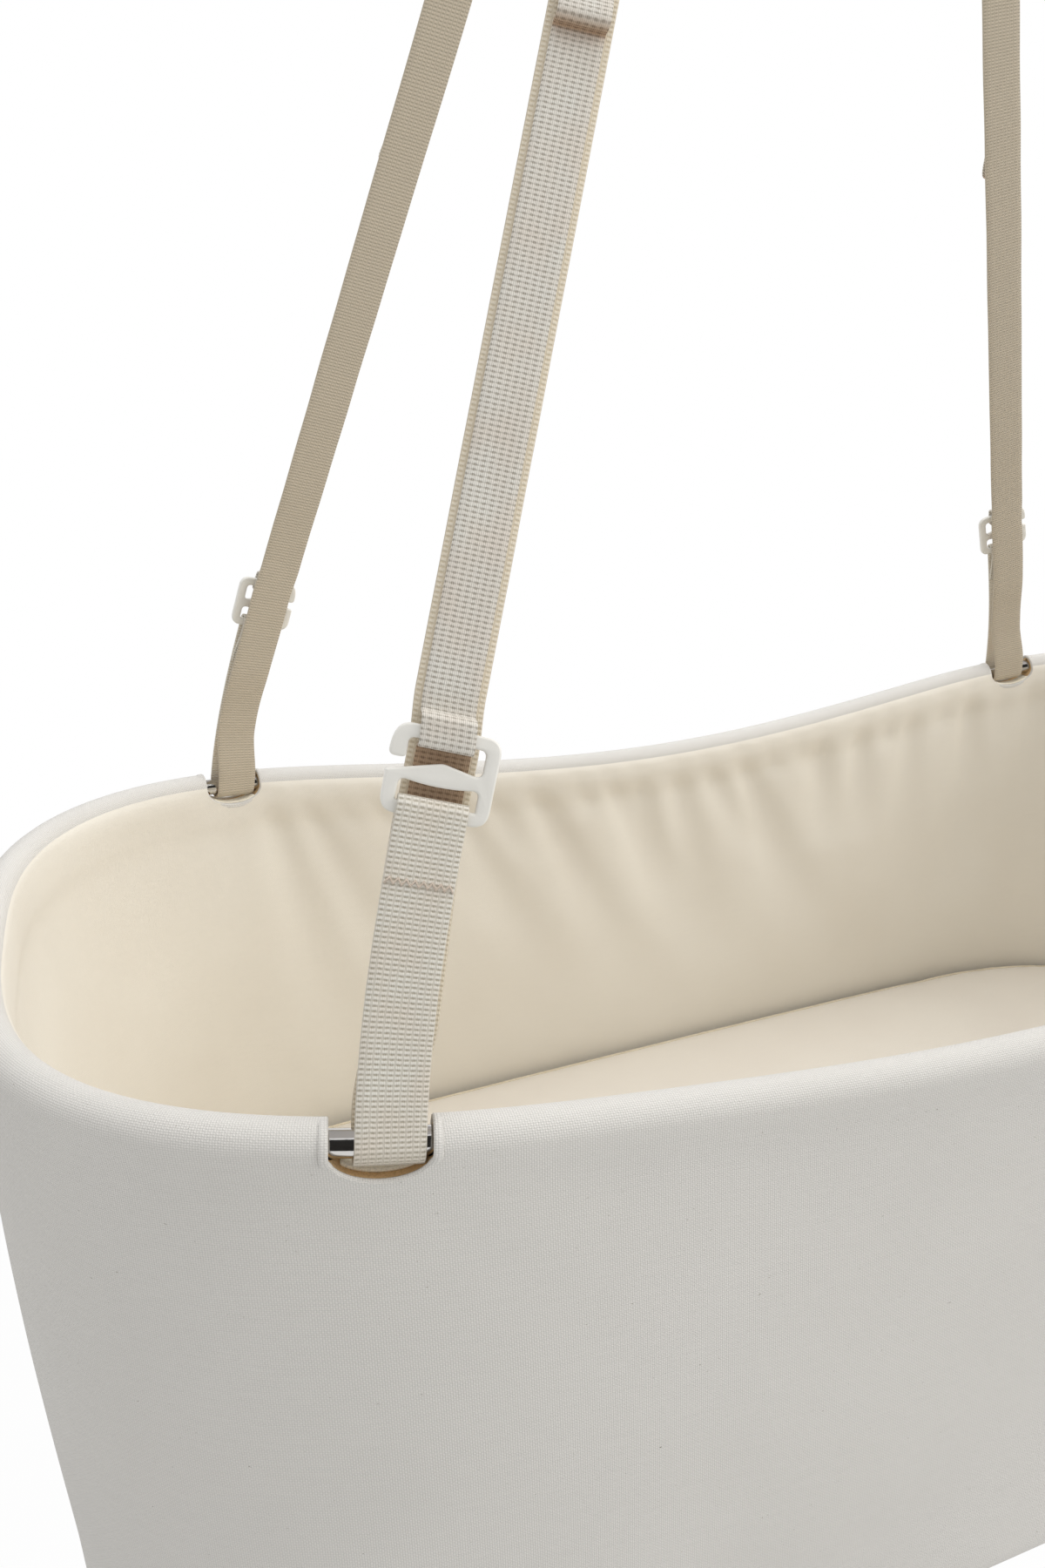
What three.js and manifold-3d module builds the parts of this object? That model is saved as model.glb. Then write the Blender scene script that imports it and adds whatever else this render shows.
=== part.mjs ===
// Hanging baby cradle: a canvas bowl on a bent steel rim, carried by four webbing straps
// from a triangular ring, a snap hook, a swivel and a ceiling bracket.
// Millimetres, +Z up. The origin is the middle of the bracket's flat ceiling face.
// X runs along the cradle and Y across it.
import * as THREE from "three";
import { mergeVertices } from "three/addons/utils/BufferGeometryUtils.js";
import Module from "manifold-3d";

const wasm = await Module();
wasm.setup();

// Fits shared by all pieces
const clearance = 0.3;
const cutOverrun = 2;
const fine = 1e-3; // share of a millimetre within which two vertices are one

// Rim tube and the plan of the bowl
const tubeDiameter = 10;
const tubeWall = 1;
const rimHalfLength = 446;
const rimHalfWidth = 215;
const rimStraightHalf = 214;
const rimRoundness = 2.87;
const rimSideBow = 3.8;
const rimWave = 37; // height of the ends over the middle of the long sides
const rimSteps = 56;
const tubeSides = 5; // facets in half a turn
const joinerLength = 60;
const straightStepShare = 0.4; // share of a quarter turn spent on the straight side
const wallBand = 60; // within this inset a profile keeps its distance from the wall

// Canvas bowl
const bowlDepth = 328;
const canvasThickness = 1.6;
const bowlCornerRadius = 25;
const bowlBulge = 2.5;
const bulgeDepth = 170;
const lipRadius = 8.6;
const wallOffset = 7; // outer face of the wall, outwards from the tube's middle
const hemDepth = 20;
const lipSegments = 4;
const notchX = 313;
const notchWidth = 35.5;
const notchDepth = 10.5;
const notchHeight = 14;
const notchSegments = 5;

// Lining bag
const liningThickness = 1.5;
const liningTopRise = 2; // its upper edge, above the hanging points
const liningOffset = -7;
const liningSettle = 12; // below the hem, the height over which the lining moves out to its own wall
const foldDepth = 4.5;
const foldPitch = 68;
const foldLean = 0.55;
const foldFrom = -190;
const foldTo = 330;
const foldFade = 70;
const foldStartShare = 0.12; // the part of its full depth's half wave at which a fold starts
const foldEasing = 1.3;
const foldMeanShare = 0.5; // how the fold depth is shared between a steady part and two waves
const foldWaveShare = 0.4;
const foldSlowWaveShare = 0.16;
const foldSlowPitch = 105;
const liningLevelShares = [0.06, 0.16, 0.4, 0.7]; // of the way from its upper edge down to the mattress

// Base board and mattress
const boardThickness = 6;
const boardInset = 20;
const mattressThickness = 57;
const mattressInset = 15;
const mattressCrown = 8;
const crownPlaceShares = [0.1, 0.3, 0.6]; // of the wall band, inwards from the rounded edge
const crownEdgeShare = 0.6; // of the crown, reached at the wall band
const crownShoulderShare = 0.85; // of the crown, reached halfway to the middle
const mattressSeam = 6;
const mattressSideDraw = 2.5;
const mattressEdgeRadius = 8;
const mattressWaist = 3; // how far the sides draw in between the ends
const mattressSteps = 56;

// Webbing
const strapWidth = 23.8;
const strapThickness = 1.4;
const strapSlide = 2.2; // how far a strap has slid from the notch's middle
const frontSlide = 0.8; // the front layer sits a little to one side of the rear one
const loopsWidth = 18.5;
const loopsThickness = 1.2;
const loopsSpacing = 245;
const loopsCount = 3;
const loopsHeight = 26; // length of webbing that each raised loop takes up
const loopsRise = 4;
const loopsRunOut = 6; // from the hook's top bar up to where the tape is sewn down again
const loopsLowEnd = 42;
const loopsTopMargin = 40;
const skewAllowance = 0.7; // the strap crosses the tube slightly askew
const edgeAllowance = 0.5; // room for the hook's edges inside a turn of webbing
const foldBack = 24; // from the hook's lower bar down to the end of the sewn tail
const stitchBack = 21;
const stitchHeight = 2.2;
const stitchRise = 0.5;
const topTail = 42;
const topStitchDrop = 28;

// Hook on each strap
const hookRise = 117.6;
const hookInsetX = 34;
const hookInsetY = 21.5;
const hookWidth = 36.4;
const hookHeight = 30;
const hookThickness = 3;
const hookBevel = 0.4;
const hookShift = 1.5; // the hook hangs a little to one side of its webbing
const hookTopBar = 4.6;
const hookLowerBar = 4.6;
const hookSideBar = 4.8;
const hookCorner = 6;
const hookMouth = 4.5;
const hookTipLength = 11.5;
const hookTipWidth = 5.6;
const hookMiddleRise = 4.7;
const hookMiddleBar = 7.9;
const hookMiddleSag = 0.9;
const hookFillet = 2.2;
const hookCurveSegments = 3;
const bendRise = 28; // above the hook the strap turns in towards the ring

// Triangular strap ring
const ringRod = 8;
const ringBarHalf = 70;
const ringHeight = 88;
const ringCornerRadius = 12;
const ringCornerSegments = 6;
const ringSides = 8;
const strapTopX = 40.6;
const ringBarAboveRim = 768;

// Snap hook, swivel and ceiling bracket
const snapRod = 8;
const snapHalfWidth = 17;
const snapLength = 84;
const snapNoseRise = 11;
const snapBossDiameter = 15;
const snapBossHeight = 15;
const snapTopDrop = 17;
const snapSteps = 30;
const snapMouthDegrees = 20; // the bent rod starts this far round the upper turn
const snapArcSteps = 8;
const gateRod = 6;
const gateTongue = 4.6;
const gatePinDiameter = 3;
const gatePinHead = 5;
const gatePinHeadHeight = 1.2;
const forkWidth = 12;
const forkHeight = 11;
const forkDepth = 10;
const swivelRingRadius = 15;
const swivelRod = 7;
const swivelCollarDiameter = 16;
const swivelCollarHeight = 12;
const swivelPinDiameter = 7;
const swivelHeadDiameter = 11;
const swivelHeadHeight = 3;
const swivelPinSink = 9;
const plateDiameter = 72;
const plateThickness = 5;
const eyeRod = 8;
const eyeRadius = 16;
const eyeLeg = 14;
const eyeSteps = 20;
const screwCircle = 52;
const screwCount = 4;
const screwDiameter = 5;
const screwLength = 45;
const screwHeadDiameter = 9.5;
const screwHeadHeight = 2.8;
const screwPointLength = 7;
const roundSides = 24;
const rodSides = 10;
const rodHalfSides = 5; // facets in half a turn of a bent rod

// Levels worked out from the sizes above
const tubeRadius = tubeDiameter / 2;
const barTurn = hookThickness / 2 + clearance + edgeAllowance + strapThickness / 2;
const eyeBottom = -plateThickness - eyeLeg - eyeRadius;
const swivelTop = eyeBottom + eyeRod / 2 + swivelRod / 2 + clearance;
const swivelRingLevel = swivelTop - swivelRingRadius;
const swivelRingBottom = swivelRingLevel - swivelRingRadius;
const collarTop = swivelRingBottom;
const collarBottom = collarTop - swivelCollarHeight;
const snapTop = collarBottom - clearance;
const snapLoopTop = snapTop - snapTopDrop;
const snapLoopBottom = snapLoopTop - snapLength;
const ringApex = snapLoopBottom + snapRod / 2 + ringRod / 2 + clearance;
const ringApexRounding = (ringCornerRadius * ringHeight) / (2 * Math.hypot(ringBarHalf, ringHeight));
const ringBarLevel = ringApex + ringApexRounding - ringHeight;
const rimLevel = ringBarLevel - ringBarAboveRim;

// Bowl floor stack, measured down from the hanging points on the rim
const bowlFloor = -bowlDepth + canvasThickness;
const boardBottom = bowlFloor + clearance;
const boardTop = boardBottom + boardThickness;
const liningFloorBottom = boardTop + clearance;
const liningFloorTop = liningFloorBottom + liningThickness;
const mattressBottom = liningFloorTop + clearance;
const mattressTop = mattressBottom + mattressThickness;

// Colours and finishes
const finishes = {
  canvas: { color: 0xe9e7e0, roughness: 0.95, metalness: 0 },
  lining: { color: 0xe6dbc3, roughness: 0.95, metalness: 0 },
  padding: { color: 0xe9dfc8, roughness: 0.95, metalness: 0 },
  webbing: { color: 0xd8cfc0, roughness: 0.9, metalness: 0 },
  thread: { color: 0xcdbfa8, roughness: 0.9, metalness: 0 },
  coated: { color: 0xe6e5e0, roughness: 0.35, metalness: 0.1 },
  steel: { color: 0xc9cacb, roughness: 0.16, metalness: 1 },
  plywood: { color: 0xc9a877, roughness: 0.7, metalness: 0 },
};

const cradle = new THREE.Group();

function addPiece(name, geometry, finish, group = cradle) {
  const mesh = new THREE.Mesh(geometry, new THREE.MeshStandardMaterial(finishes[finish]));
  mesh.name = name;
  group.add(mesh);
  return mesh;
}

// Solids

function solidOf(geometry) {
  const bare = geometry.clone();
  bare.deleteAttribute("normal");
  bare.deleteAttribute("uv");
  const merged = mergeVertices(bare, fine);
  const index = merged.index.array;
  const kept = [];
  for (let i = 0; i < index.length; i += 3) {
    const [a, b, c] = [index[i], index[i + 1], index[i + 2]];
    if (a !== b && b !== c && c !== a) kept.push(a, b, c);
  }
  return new wasm.Manifold(
    new wasm.Mesh({
      numProp: 3,
      vertProperties: merged.attributes.position.array,
      triVerts: new Uint32Array(kept),
    }),
  );
}

function geometryOf(solid) {
  const mesh = solid.getMesh();
  const geometry = new THREE.BufferGeometry();
  geometry.setAttribute("position", new THREE.BufferAttribute(mesh.vertProperties, 3));
  geometry.setIndex(new THREE.BufferAttribute(mesh.triVerts, 1));
  geometry.computeVertexNormals();
  return geometry;
}

function cut(geometry, ...cutters) {
  return geometryOf(cutters.reduce((left, cutter) => left.subtract(solidOf(cutter)), solidOf(geometry)));
}

function join(geometry, ...others) {
  return geometryOf(others.reduce((left, other) => left.add(solidOf(other)), solidOf(geometry)));
}

// A solid of revolution about Z from [radius, height] pairs that start and end on the axis.
function turned(pairs, sides = roundSides) {
  const profile = pairs.map(([radius, height]) => new THREE.Vector2(radius, height));
  const geometry = new THREE.LatheGeometry(profile, sides);
  geometry.rotateX(Math.PI / 2);
  return geometry;
}

function rod(diameter, from, to, sides = rodSides) {
  const axis = new THREE.Vector3().subVectors(to, from);
  const geometry = new THREE.CylinderGeometry(diameter / 2, diameter / 2, axis.length(), sides);
  const turn = new THREE.Quaternion().setFromUnitVectors(new THREE.Vector3(0, 1, 0), axis.clone().normalize());
  geometry.applyQuaternion(turn);
  geometry.translate(...new THREE.Vector3().addVectors(from, to).divideScalar(2).toArray());
  return geometry;
}

function rodAlong(path, diameter, steps, halfSides = rodHalfSides) {
  const section = new THREE.Shape();
  section.absarc(0, 0, diameter / 2, 0, 2 * Math.PI);
  return new THREE.ExtrudeGeometry(section, {
    extrudePath: path,
    steps,
    curveSegments: halfSides,
    bevelEnabled: false,
  });
}

// The rim's plan and height

function rimWidthAt(x) {
  const along = Math.abs(x);
  const endShare = THREE.MathUtils.clamp((along - rimStraightHalf) / (rimHalfLength - rimStraightHalf), 0, 1);
  const bowed = rimHalfWidth - rimSideBow * (along / rimHalfLength) ** 2;
  return bowed * (1 - endShare ** rimRoundness) ** (1 / rimRoundness);
}

function rimLiftAt(x) {
  const phase = (at) => Math.cos(Math.PI * Math.min(Math.abs(at) / rimHalfLength, 1));
  return (rimWave * (phase(notchX) - phase(x))) / 2;
}

// The rim as a closed curve. It starts at the middle of the front side and runs anticlockwise.
class RimCurve extends THREE.Curve {
  constructor(from = 0, to = 1) {
    super();
    this.from = from;
    this.to = to;
    this.arcLengthDivisions = 1600;
  }

  getPoint(share, target = new THREE.Vector3()) {
    const turn = (this.from + (this.to - this.from) * share) * 4;
    const quarter = Math.min(Math.floor(turn), 3);
    const inQuarter = turn - quarter;
    const towardsEnd = quarter % 2 === 0 ? inQuarter : 1 - inQuarter;
    const signX = quarter < 2 ? 1 : -1;
    const signY = quarter === 0 || quarter === 3 ? -1 : 1;
    let x = (rimStraightHalf * towardsEnd) / straightStepShare;
    if (towardsEnd > straightStepShare) {
      const angle = ((towardsEnd - straightStepShare) / (1 - straightStepShare)) * (Math.PI / 2);
      x = rimStraightHalf + (rimHalfLength - rimStraightHalf) * Math.sin(angle) ** (2 / rimRoundness);
    }
    return target.set(signX * x, signY * rimWidthAt(x), rimLiftAt(x));
  }
}

// Places round the rim: the middle of the tube there, and the level direction outwards.
function evenStations(count) {
  const rim = new RimCurve();
  return Array.from({ length: count }, (_, i) => {
    const share = i / count;
    const before = rim.getPointAt((share - fine + 1) % 1);
    const after = rim.getPointAt((share + fine) % 1);
    const outward = new THREE.Vector3(after.y - before.y, before.x - after.x, 0).normalize();
    return { centre: rim.getPointAt(share), outward };
  });
}

// The bowl's own places, and one more halfway between two wherever the lining has folds.
function foldStations() {
  const places = evenStations(rimSteps);
  return places.flatMap((place, i) => {
    const next = places[(i + 1) % rimSteps];
    const between = {
      centre: place.centre.clone().lerp(next.centre, 1 / 2),
      outward: place.outward.clone().lerp(next.outward, 1 / 2),
    };
    const folded = between.centre.x > foldFrom - foldFade && between.centre.x < foldTo + foldFade;
    return folded ? [place, between] : [place];
  });
}

// A profile of points [outwards from the tube's middle, up from the hanging points] carried round the rim.
// Its points closer to the middle than the wall band shrink the plan down to the centre.
function aroundRim(pairs, stations, bulgeAt = () => 0) {
  const profile = pairs.map(([out, up]) => new THREE.Vector2(rimHalfWidth + out, up));
  const geometry = new THREE.LatheGeometry(profile, stations.length);
  const position = geometry.getAttribute("position");
  const wallRadius = rimHalfWidth - wallBand;
  for (let i = 0; i <= stations.length; i++) {
    const { centre, outward } = stations[i % stations.length];
    profile.forEach((point, j) => {
      const inWall = point.x >= wallRadius;
      const out = inWall ? point.x - rimHalfWidth + bulgeAt(centre, pairs[j]) : -wallBand;
      const share = inWall ? 1 : point.x / wallRadius;
      const fade = THREE.MathUtils.clamp(1 - point.y / mattressTop, 0, 1);
      position.setXYZ(
        i * profile.length + j,
        (centre.x + outward.x * out) * share,
        (centre.y + outward.y * out) * share,
        point.y + centre.z * fade * share,
      );
    });
  }
  return geometry;
}

// Bowl

function arcPairs(out, up, radius, fromDegrees, toDegrees, segments) {
  return Array.from({ length: segments + 1 }, (_, i) => {
    const angle = THREE.MathUtils.degToRad(fromDegrees + ((toDegrees - fromDegrees) * i) / segments);
    return [out + radius * Math.cos(angle), up + radius * Math.sin(angle)];
  });
}

// The canvas goes up the outside, over the tube and down inside to a hem.
function bowlProfile() {
  const corner = bowlCornerRadius;
  const inner = corner - canvasThickness;
  const cornerOut = wallOffset - corner;
  const cornerUp = -bowlDepth + corner;
  const hemOuter = -lipRadius;
  const hemInner = -lipRadius + canvasThickness;
  const casing = tubeRadius + 2 * clearance;
  const wallInner = wallOffset - canvasThickness;
  return [
    [-rimHalfWidth, -bowlDepth],
    ...arcPairs(cornerOut, cornerUp, corner, -90, 0, 3),
    [wallOffset + bowlBulge, -bulgeDepth],
    [wallOffset, -hemDepth],
    ...arcPairs(0, 0, lipRadius, 0, 180, lipSegments),
    [hemOuter, -hemDepth],
    [hemInner, -hemDepth],
    ...arcPairs(0, 0, casing, 180, 0, lipSegments),
    [wallInner, -hemDepth],
    [wallInner + bowlBulge, -bulgeDepth],
    ...arcPairs(cornerOut, cornerUp, inner, 0, -90, 3),
    [-rimHalfWidth, -bowlDepth + canvasThickness],
  ];
}

// Where the rim carries a strap: the tube's middle, the way the tube runs and the level way out.
function rimPlace(side, along, offset) {
  const x = notchX - offset;
  const step = rimSideBow * fine;
  const outline = (at) => new THREE.Vector3(along * at, side * rimWidthAt(at), rimLiftAt(at));
  const centre = outline(x);
  const tangent = new THREE.Vector3()
    .subVectors(outline(x + step), outline(x - step))
    .multiplyScalar(-side * along)
    .normalize();
  const outward = new THREE.Vector3(tangent.y, -tangent.x, 0).normalize();
  return { centre, tangent, outward };
}

// A U-shaped cutter through the canvas and the lining on both sides of the tube.
function notchCutter(side, along) {
  const { centre, tangent, outward } = rimPlace(side, along, 0);
  const half = notchWidth / 2;
  const shape = new THREE.Shape();
  shape.moveTo(half, notchHeight);
  shape.lineTo(-half, notchHeight);
  shape.lineTo(-half, 0);
  shape.absellipse(0, 0, half, notchDepth, Math.PI, 2 * Math.PI);
  const reach = lipRadius + clearance + liningThickness + cutOverrun;
  const geometry = new THREE.ExtrudeGeometry(shape, {
    depth: 2 * reach,
    bevelEnabled: false,
    curveSegments: notchSegments,
  });
  geometry.translate(0, 0, -reach);
  const up = new THREE.Vector3().crossVectors(outward, tangent);
  geometry.applyMatrix4(new THREE.Matrix4().makeBasis(tangent, up, outward).setPosition(centre));
  return geometry;
}

const corners = [
  { name: "front_left", side: -1, along: -1 },
  { name: "front_right", side: -1, along: 1 },
  { name: "back_left", side: 1, along: -1 },
  { name: "back_right", side: 1, along: 1 },
];

function addBowl() {
  const wall = aroundRim(bowlProfile(), evenStations(rimSteps));
  const notches = corners.map(({ side, along }) => notchCutter(side, along));
  addPiece("canvas_bowl", cut(wall, ...notches), "canvas");
}

// Rim tube in two halves, plugged together in the middle of each long side.
function addRimTube() {
  const boreDiameter = tubeDiameter - 2 * tubeWall;
  const reach = joinerLength / 2 + cutOverrun;
  for (const [name, from] of [["right", 0], ["left", 1 / 2]]) {
    const endGap = clearance / 2 / new RimCurve().getLength();
    const half = new RimCurve(from + endGap, from + 1 / 2 - endGap);
    const bores = [-1, 1].map((side) => {
      const middle = new THREE.Vector3(0, side * rimHalfWidth, rimLiftAt(0));
      const along = new THREE.Vector3(reach, 0, 0);
      return rod(boreDiameter, middle.clone().sub(along), middle.clone().add(along));
    });
    addPiece(`rim_tube_${name}`, cut(rodAlong(half, tubeDiameter, rimSteps / 2, tubeSides), ...bores), "steel");
  }
  for (const [name, side] of [["front", -1], ["back", 1]]) {
    const middle = new THREE.Vector3(0, side * rimHalfWidth, rimLiftAt(0));
    const along = new THREE.Vector3(joinerLength / 2, 0, 0);
    const joiner = rod(boreDiameter - 2 * clearance, middle.clone().sub(along), middle.clone().add(along));
    addPiece(`rim_joiner_${name}`, joiner, "steel");
  }
}

// Folds of the lining: they fan out down the long sides and die away at the mattress and round the ends.
function liningFold(centre, [, up]) {
  const depth = liningTopRise - up;
  const downShare = Math.min(depth / (liningTopRise - mattressTop), 1);
  const x = centre.x - foldLean * depth * Math.sign(centre.x - (foldFrom + foldTo) / 2 + fine);
  const inSide = THREE.MathUtils.smoothstep(centre.x, foldFrom - foldFade, foldFrom + foldFade)
    * (1 - THREE.MathUtils.smoothstep(centre.x, foldTo - foldFade, foldTo + foldFade));
  const wave = (pitch) => Math.sin((2 * Math.PI * x) / pitch);
  const waves = foldMeanShare + foldWaveShare * wave(foldPitch) + foldSlowWaveShare * wave(foldSlowPitch);
  const riseShare = foldStartShare + (1 - foldStartShare) * (1 - downShare) ** foldEasing;
  return -foldDepth * inSide * Math.sin(Math.PI * riseShare) * waves;
}

// The lining is sewn inside the hem, with the same notches, and hangs down to the board.
function addLining() {
  const seamOut = -lipRadius - clearance;
  const seamLow = -hemDepth - clearance;
  const wallFace = liningOffset - liningThickness;
  const seamFace = seamOut - liningThickness;
  const levels = liningLevelShares.map((share) => liningTopRise + (mattressTop - liningTopRise) * share);
  const profile = [
    [-rimHalfWidth, liningFloorBottom],
    [liningOffset, liningFloorBottom],
    [liningOffset, seamLow - liningSettle],
    [seamOut, seamLow],
    [seamOut, liningTopRise],
    [seamFace, liningTopRise],
    ...levels.map((level) => [level > seamLow - liningSettle ? seamFace : wallFace, level]),
    [wallFace, mattressTop],
    [wallFace, liningFloorTop],
    [-rimHalfWidth, liningFloorTop],
  ];
  const inner = (centre, pair) => (levels.includes(pair[1]) ? liningFold(centre, pair) : 0);
  const bag = aroundRim(profile, foldStations(), inner);
  const notches = corners.map(({ side, along }) => notchCutter(side, along));
  addPiece("lining", cut(bag, ...notches), "lining");
}

function addBoard() {
  const outline = evenStations(rimSteps).map(
    ({ centre, outward }) => new THREE.Vector2(centre.x - outward.x * boardInset, centre.y - outward.y * boardInset),
  );
  const board = new THREE.ExtrudeGeometry(new THREE.Shape(outline), { depth: boardThickness, bevelEnabled: false });
  board.translate(0, 0, boardBottom);
  addPiece("base_board", board, "plywood");
}

// A boxed cushion with a crown, seams at both edges and sides that draw in between them.
function addMattress(group) {
  const edge = -mattressInset;
  const radius = mattressEdgeRadius;
  const round = arcPairs(edge - radius, mattressTop - radius, radius, 0, 90, 2);
  const crown = crownPlaceShares.map((share) => [
    edge - radius - share * wallBand,
    mattressTop + mattressCrown * crownEdgeShare * Math.sin((share * Math.PI) / 2),
  ]);
  const profile = [
    [-rimHalfWidth, mattressBottom],
    [edge - mattressSeam / 2, mattressBottom],
    [edge, mattressBottom + mattressSeam / 2],
    [edge - mattressSideDraw, (mattressBottom + mattressTop) / 2],
    ...round,
    ...crown,
    [-rimHalfWidth / 2, mattressTop + mattressCrown * crownShoulderShare],
    [-rimHalfWidth, mattressTop + mattressCrown],
  ];
  const waist = (centre) => -mattressWaist * Math.sin(Math.PI * Math.min(Math.abs(centre.x) / rimHalfLength, 1)) ** 2;
  addPiece("mattress", aroundRim(profile, evenStations(mattressSteps), waist), "padding", group);
}

// Straps

// The frame of one strap. Heights v run from the tube to the ring's bar. Up to the hook they follow
// the strap's middle plane through the tube and the hook, which bends sideways in its own plane.
// Past the hook they follow the rear webbing up to the bar.
class StrapFrame {
  constructor({ side, along }) {
    const place = rimPlace(side, along, strapSlide);
    this.side = side;
    this.along = along;
    this.tube = place.centre;
    this.hook = new THREE.Vector3(
      along * (notchX - hookInsetX),
      side * (rimWidthAt(notchX) - hookInsetY),
      hookRise,
    );
    const chord = new THREE.Vector3().subVectors(this.hook, this.tube);
    this.hookAt = chord.length();
    this.up = chord.normalize();
    this.across = place.tangent.clone().addScaledVector(this.up, -place.tangent.dot(this.up)).normalize();
    this.outward = new THREE.Vector3().crossVectors(this.across, this.up);
    this.rear = tubeRadius + clearance + skewAllowance + strapThickness / 2;
    this.layer = side > 0 ? 1 : 0;
    this.wrap = ringRod / 2 + clearance + strapThickness / 2 + this.layer * (strapThickness + clearance);
    this.top = new THREE.Vector3(along * strapTopX, side * this.wrap, ringBarAboveRim);
    this.tubeSlope = -this.up.dot(place.tangent) / this.across.dot(place.tangent);
    const upwards = new THREE.Vector3().subVectors(this.top, this.hook);
    this.hookSlope = upwards.dot(this.across) / upwards.dot(this.up);
    this.bendAt = this.hookAt + bendRise;
    const upper = upwards.subVectors(this.top, this.below(this.bendAt, -this.rear).point);
    this.topAt = this.bendAt + upper.length();
    this.rise = upper.normalize();
    this.barAcross = new THREE.Vector3(-side, 0, 0);
  }

  // The webbing's middle at height v, a distance out of the strap's plane, and its directions there.
  at(v, out = 0) {
    return v <= this.bendAt ? this.below(v, out) : this.above(v, out + this.rear);
  }

  below(v, out) {
    const s = THREE.MathUtils.clamp(v / this.hookAt, 0, 1);
    const bent = this.hookAt * (this.tubeSlope * (s - 2 * s ** 2 + s ** 3) + this.hookSlope * (s ** 3 - s ** 2));
    const slope = this.tubeSlope * (1 - 4 * s + 3 * s ** 2) + this.hookSlope * (3 * s ** 2 - 2 * s);
    const sideways = bent + slope * (v - s * this.hookAt);
    const point = this.tube
      .clone()
      .addScaledVector(this.up, v)
      .addScaledVector(this.across, sideways)
      .addScaledVector(this.outward, out);
    const across = this.across.clone().addScaledVector(this.up, -slope).normalize();
    return { point, across, outward: this.outward, up: new THREE.Vector3().crossVectors(this.outward, across) };
  }

  above(v, out) {
    const share = THREE.MathUtils.smoothstep(v, this.bendAt, this.topAt);
    const lower = this.across.clone().addScaledVector(this.rise, -this.across.dot(this.rise)).normalize();
    const across = lower.lerp(this.barAcross, share).normalize();
    const square = across.clone().addScaledVector(this.rise, -across.dot(this.rise)).normalize();
    const outward = new THREE.Vector3().crossVectors(square, this.rise);
    const point = this.top
      .clone()
      .addScaledVector(this.rise, v - this.topAt)
      .addScaledVector(outward, out);
    return { point, across, outward, up: this.rise };
  }
}

// A flat strip that follows a list of places, each a middle point and a direction across.
function webbing(places, width, thickness) {
  const count = places.length - 1;
  const geometry = new THREE.BoxGeometry(width, thickness, 1, 1, 1, count);
  const position = geometry.getAttribute("position");
  const normals = places.map(({ across }, i) => {
    const before = places[Math.max(i - 1, 0)].point;
    const after = places[Math.min(i + 1, count)].point;
    return new THREE.Vector3().subVectors(after, before).cross(across).normalize();
  });
  for (let i = 0; i < position.count; i++) {
    const at = Math.round((position.getZ(i) + 1 / 2) * count);
    const { point, across } = places[at];
    const placed = point
      .clone()
      .addScaledVector(across, position.getX(i))
      .addScaledVector(normals[at], position.getY(i));
    position.setXYZ(i, ...placed.toArray());
  }
  turnDiagonals(geometry);
  return geometry;
}

// Both broad faces of a strip fold along the same diagonals, so that it keeps its thickness where it twists.
function turnDiagonals(geometry) {
  const { start, count } = geometry.groups[3];
  const index = geometry.index;
  for (let i = start; i < start + count; i += 6) {
    const [a, b, c, d] = [index.getX(i), index.getX(i + 1), index.getX(i + 4), index.getX(i + 2)];
    [a, b, c, a, c, d].forEach((vertex, j) => index.setX(i + j, vertex));
  }
}

function spread(from, to, count) {
  return Array.from({ length: count }, (_, i) => from + ((to - from) * i) / (count - 1));
}

// Heights above the bend where both webbings turn their faces towards the ring's bar.
function upperStations(frame) {
  return spread(frame.bendAt, frame.topAt, 11);
}

// Wide webbing: sewn tail, hook bar, down the front, under the tube, up the back to the ring's bar.
function strapPlaces(frame) {
  const barMiddle = frame.hookAt - hookHeight / 2 + hookLowerBar - hookThickness / 2;
  const barLow = frame.hookAt - hookHeight / 2;
  const tailLow = barLow - foldBack;
  const places = [];
  const lay = (v, out, slide = 0) => {
    const place = frame.at(v, out);
    place.point.addScaledVector(place.across, slide);
    places.push(place);
  };
  for (const v of spread(tailLow, barLow, 4)) {
    const share = (v - tailLow) / (barLow - tailLow);
    const behind = frontOut(frame, v) - strapThickness - clearance;
    lay(v, behind * (1 - share) - barTurn * share, frontSlide);
  }
  for (const angle of spread(Math.PI, 0, 7)) {
    lay(barMiddle + barTurn * Math.sin(angle), barTurn * Math.cos(angle), frontSlide);
  }
  for (const v of spread(barLow, 0, 7).slice(0, -1)) lay(v, frontOut(frame, v), frontSlide);
  for (const angle of spread(0, Math.PI, 9)) {
    lay(-frame.rear * Math.sin(angle), frame.rear * Math.cos(angle), frontSlide * (1 - angle / Math.PI));
  }
  for (const v of spread(0, frame.bendAt, 8).slice(1)) lay(v, -frame.rear);
  for (const v of upperStations(frame).slice(1, -1)) lay(v, -frame.rear);
  return places;
}

// The front layer runs from the outside of the tube to the front of the hook's lower bar.
function frontOut(frame, v) {
  const barLow = frame.hookAt - hookHeight / 2;
  return frame.rear + (barTurn - frame.rear) * Math.max(v / barLow, 0);
}

// Over the ring's bar and down the other side, where it is sewn to the opposite strap.
function topPlaces(frame, other) {
  const turn = spread(0, Math.PI, 9).map((angle) => ({
    point: new THREE.Vector3(
      frame.top.x,
      frame.side * frame.wrap * Math.cos(angle),
      ringBarAboveRim + frame.wrap * Math.sin(angle),
    ),
    across: frame.barAcross,
  }));
  const layer = (strapThickness + clearance) * (frame.layer ? 1 : -1);
  const tail = spread(0, topTail, 4)
    .slice(1)
    .map((drop) => {
      const place = other.at(other.topAt - drop, layer - other.rear);
      return { point: place.point, across: place.across.clone().negate() };
    });
  return [...turn, ...tail];
}

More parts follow.
